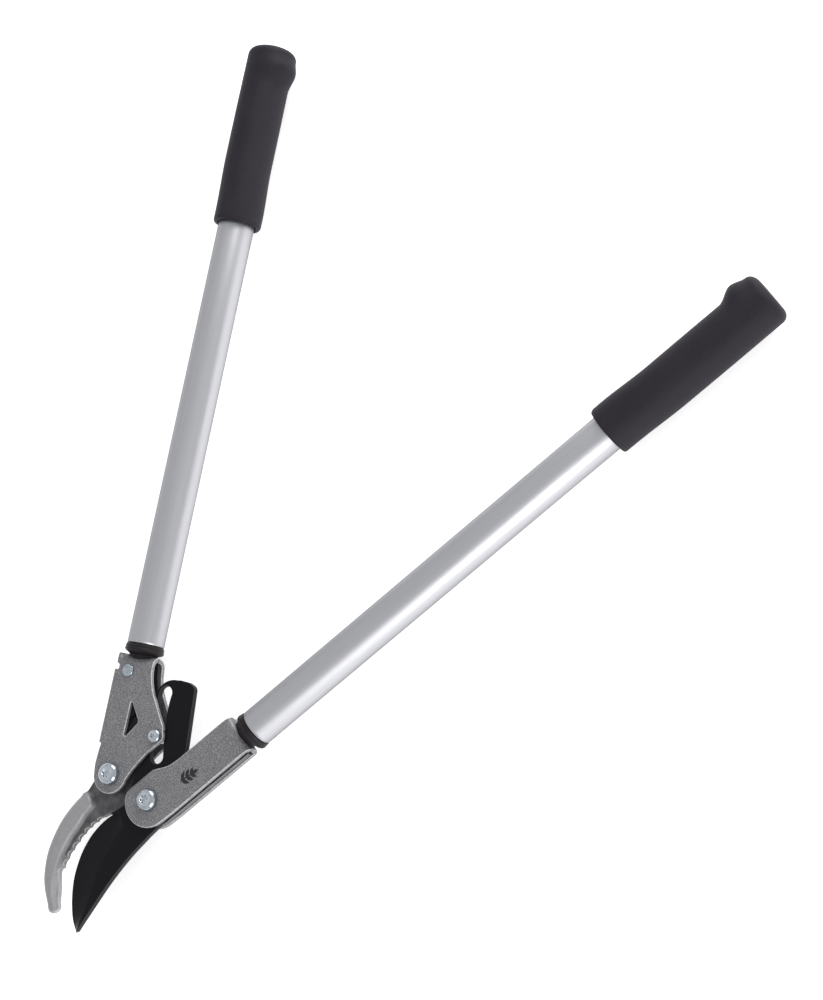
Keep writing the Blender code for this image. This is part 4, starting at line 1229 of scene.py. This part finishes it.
def ring(name, node, at, body, side, finish, slot, inner, outer, low, high):
    """A washer, bush or roller: a rectangle with softened corners, spun."""
    c = min(0.35, (high - low) * 0.3, (outer - inner) * 0.3)
    rows = [(inner, high - c), (inner, low + c), (inner + c, low), (outer - c, low),
            (outer - 0.3 * c, low + 0.3 * c), (outer, low + c), (outer, high - c),
            (outer - 0.3 * c, high - 0.3 * c), (outer - c, high), (inner + c, high)]
    points, faces = skin(standing(rows, at), closed=True)
    piece(name, to_row(points, side), faces, finish, body, [node], slot, sharp=50)


# %% Pivots and guide
WASHER, NUT, SMALL_NUT = 1.5, 7.5, 5.0
for pivot, side in (("blade_pivot", "right"), ("hook_pivot", "left")):
    washer_top = -PLATE_OUT - GAP
    nut_top = washer_top - WASHER - GAP
    body = BODY[side]
    screw(f"{pivot}_bolt", f"{pivot}_screw", (0, 0), body, side, 4.0, 7.4, 4.4, nut_top - NUT + 0.6)
    ring(f"{pivot}_disc", f"{pivot}_washer", (0, 0), body, side, ZINC, "zinc_plate", 4.3, 8.5,
         washer_top - WASHER, washer_top)
    lock_nut(f"{pivot}_locknut", f"{pivot}_nut", (0, 0), body, side, 4.0, 13.0, NUT, nut_top)
ring("bush", "blade_bush", (0, 0), "blade", None, BRONZE, "bush_bronze", 4.3, 6.3, BLADE_LOW, BLADE_HIGH)
ring("pivot_spacer", "hook_pivot_spacer", (0, 0), "left_handle", "left", ZINC, "zinc_plate", 4.3, 6.5,
     BLADE_LOW, BLADE_HIGH)
guide_top = -PLATE_OUT - GAP
screw("guide_bolt", "guide_screw", guide_at, "left_handle", "left", 2.5, 4.75, 3.0,
      guide_top - SMALL_NUT + 0.5, SHOULDER_R)
ring("roller", "guide_roller", guide_at, "left_handle", "left", ZINC, "zinc_plate", SHOULDER_R + GAP,
     ROLLER_R, -PLATE_IN + GAP, PLATE_IN - GAP)
lock_nut("guide_locknut", "guide_nut", guide_at, "left_handle", "left", 2.5, 8.0, SMALL_NUT, guide_top)


# %% Rivet
def rivet():
    """A turned rivet whose front head is dished by the tool that spread it."""
    head = PLATE_OUT + GAP
    rows = [(2.6, -head - 0.9), (3.7, -head - 0.75), (4.2, -head - 0.35), (4.2, -head), (3.2, -head),
            (3.2, head), (4.2, head), (4.2, head + 0.35), (3.9, head + 0.75), (3.4, head + 0.9),
            (2.9, head + 0.75), (2.2, head + 0.3), (1.2, head + 0.12), (0.4, head + 0.1)]
    points, faces = skin(standing(rows, RIVET_AT))
    piece("rivet", to_row(points, "left"), faces, ZINC, "left_handle", ["insert_rivet"], "zinc_plate",
          sharp=50)


rivet()
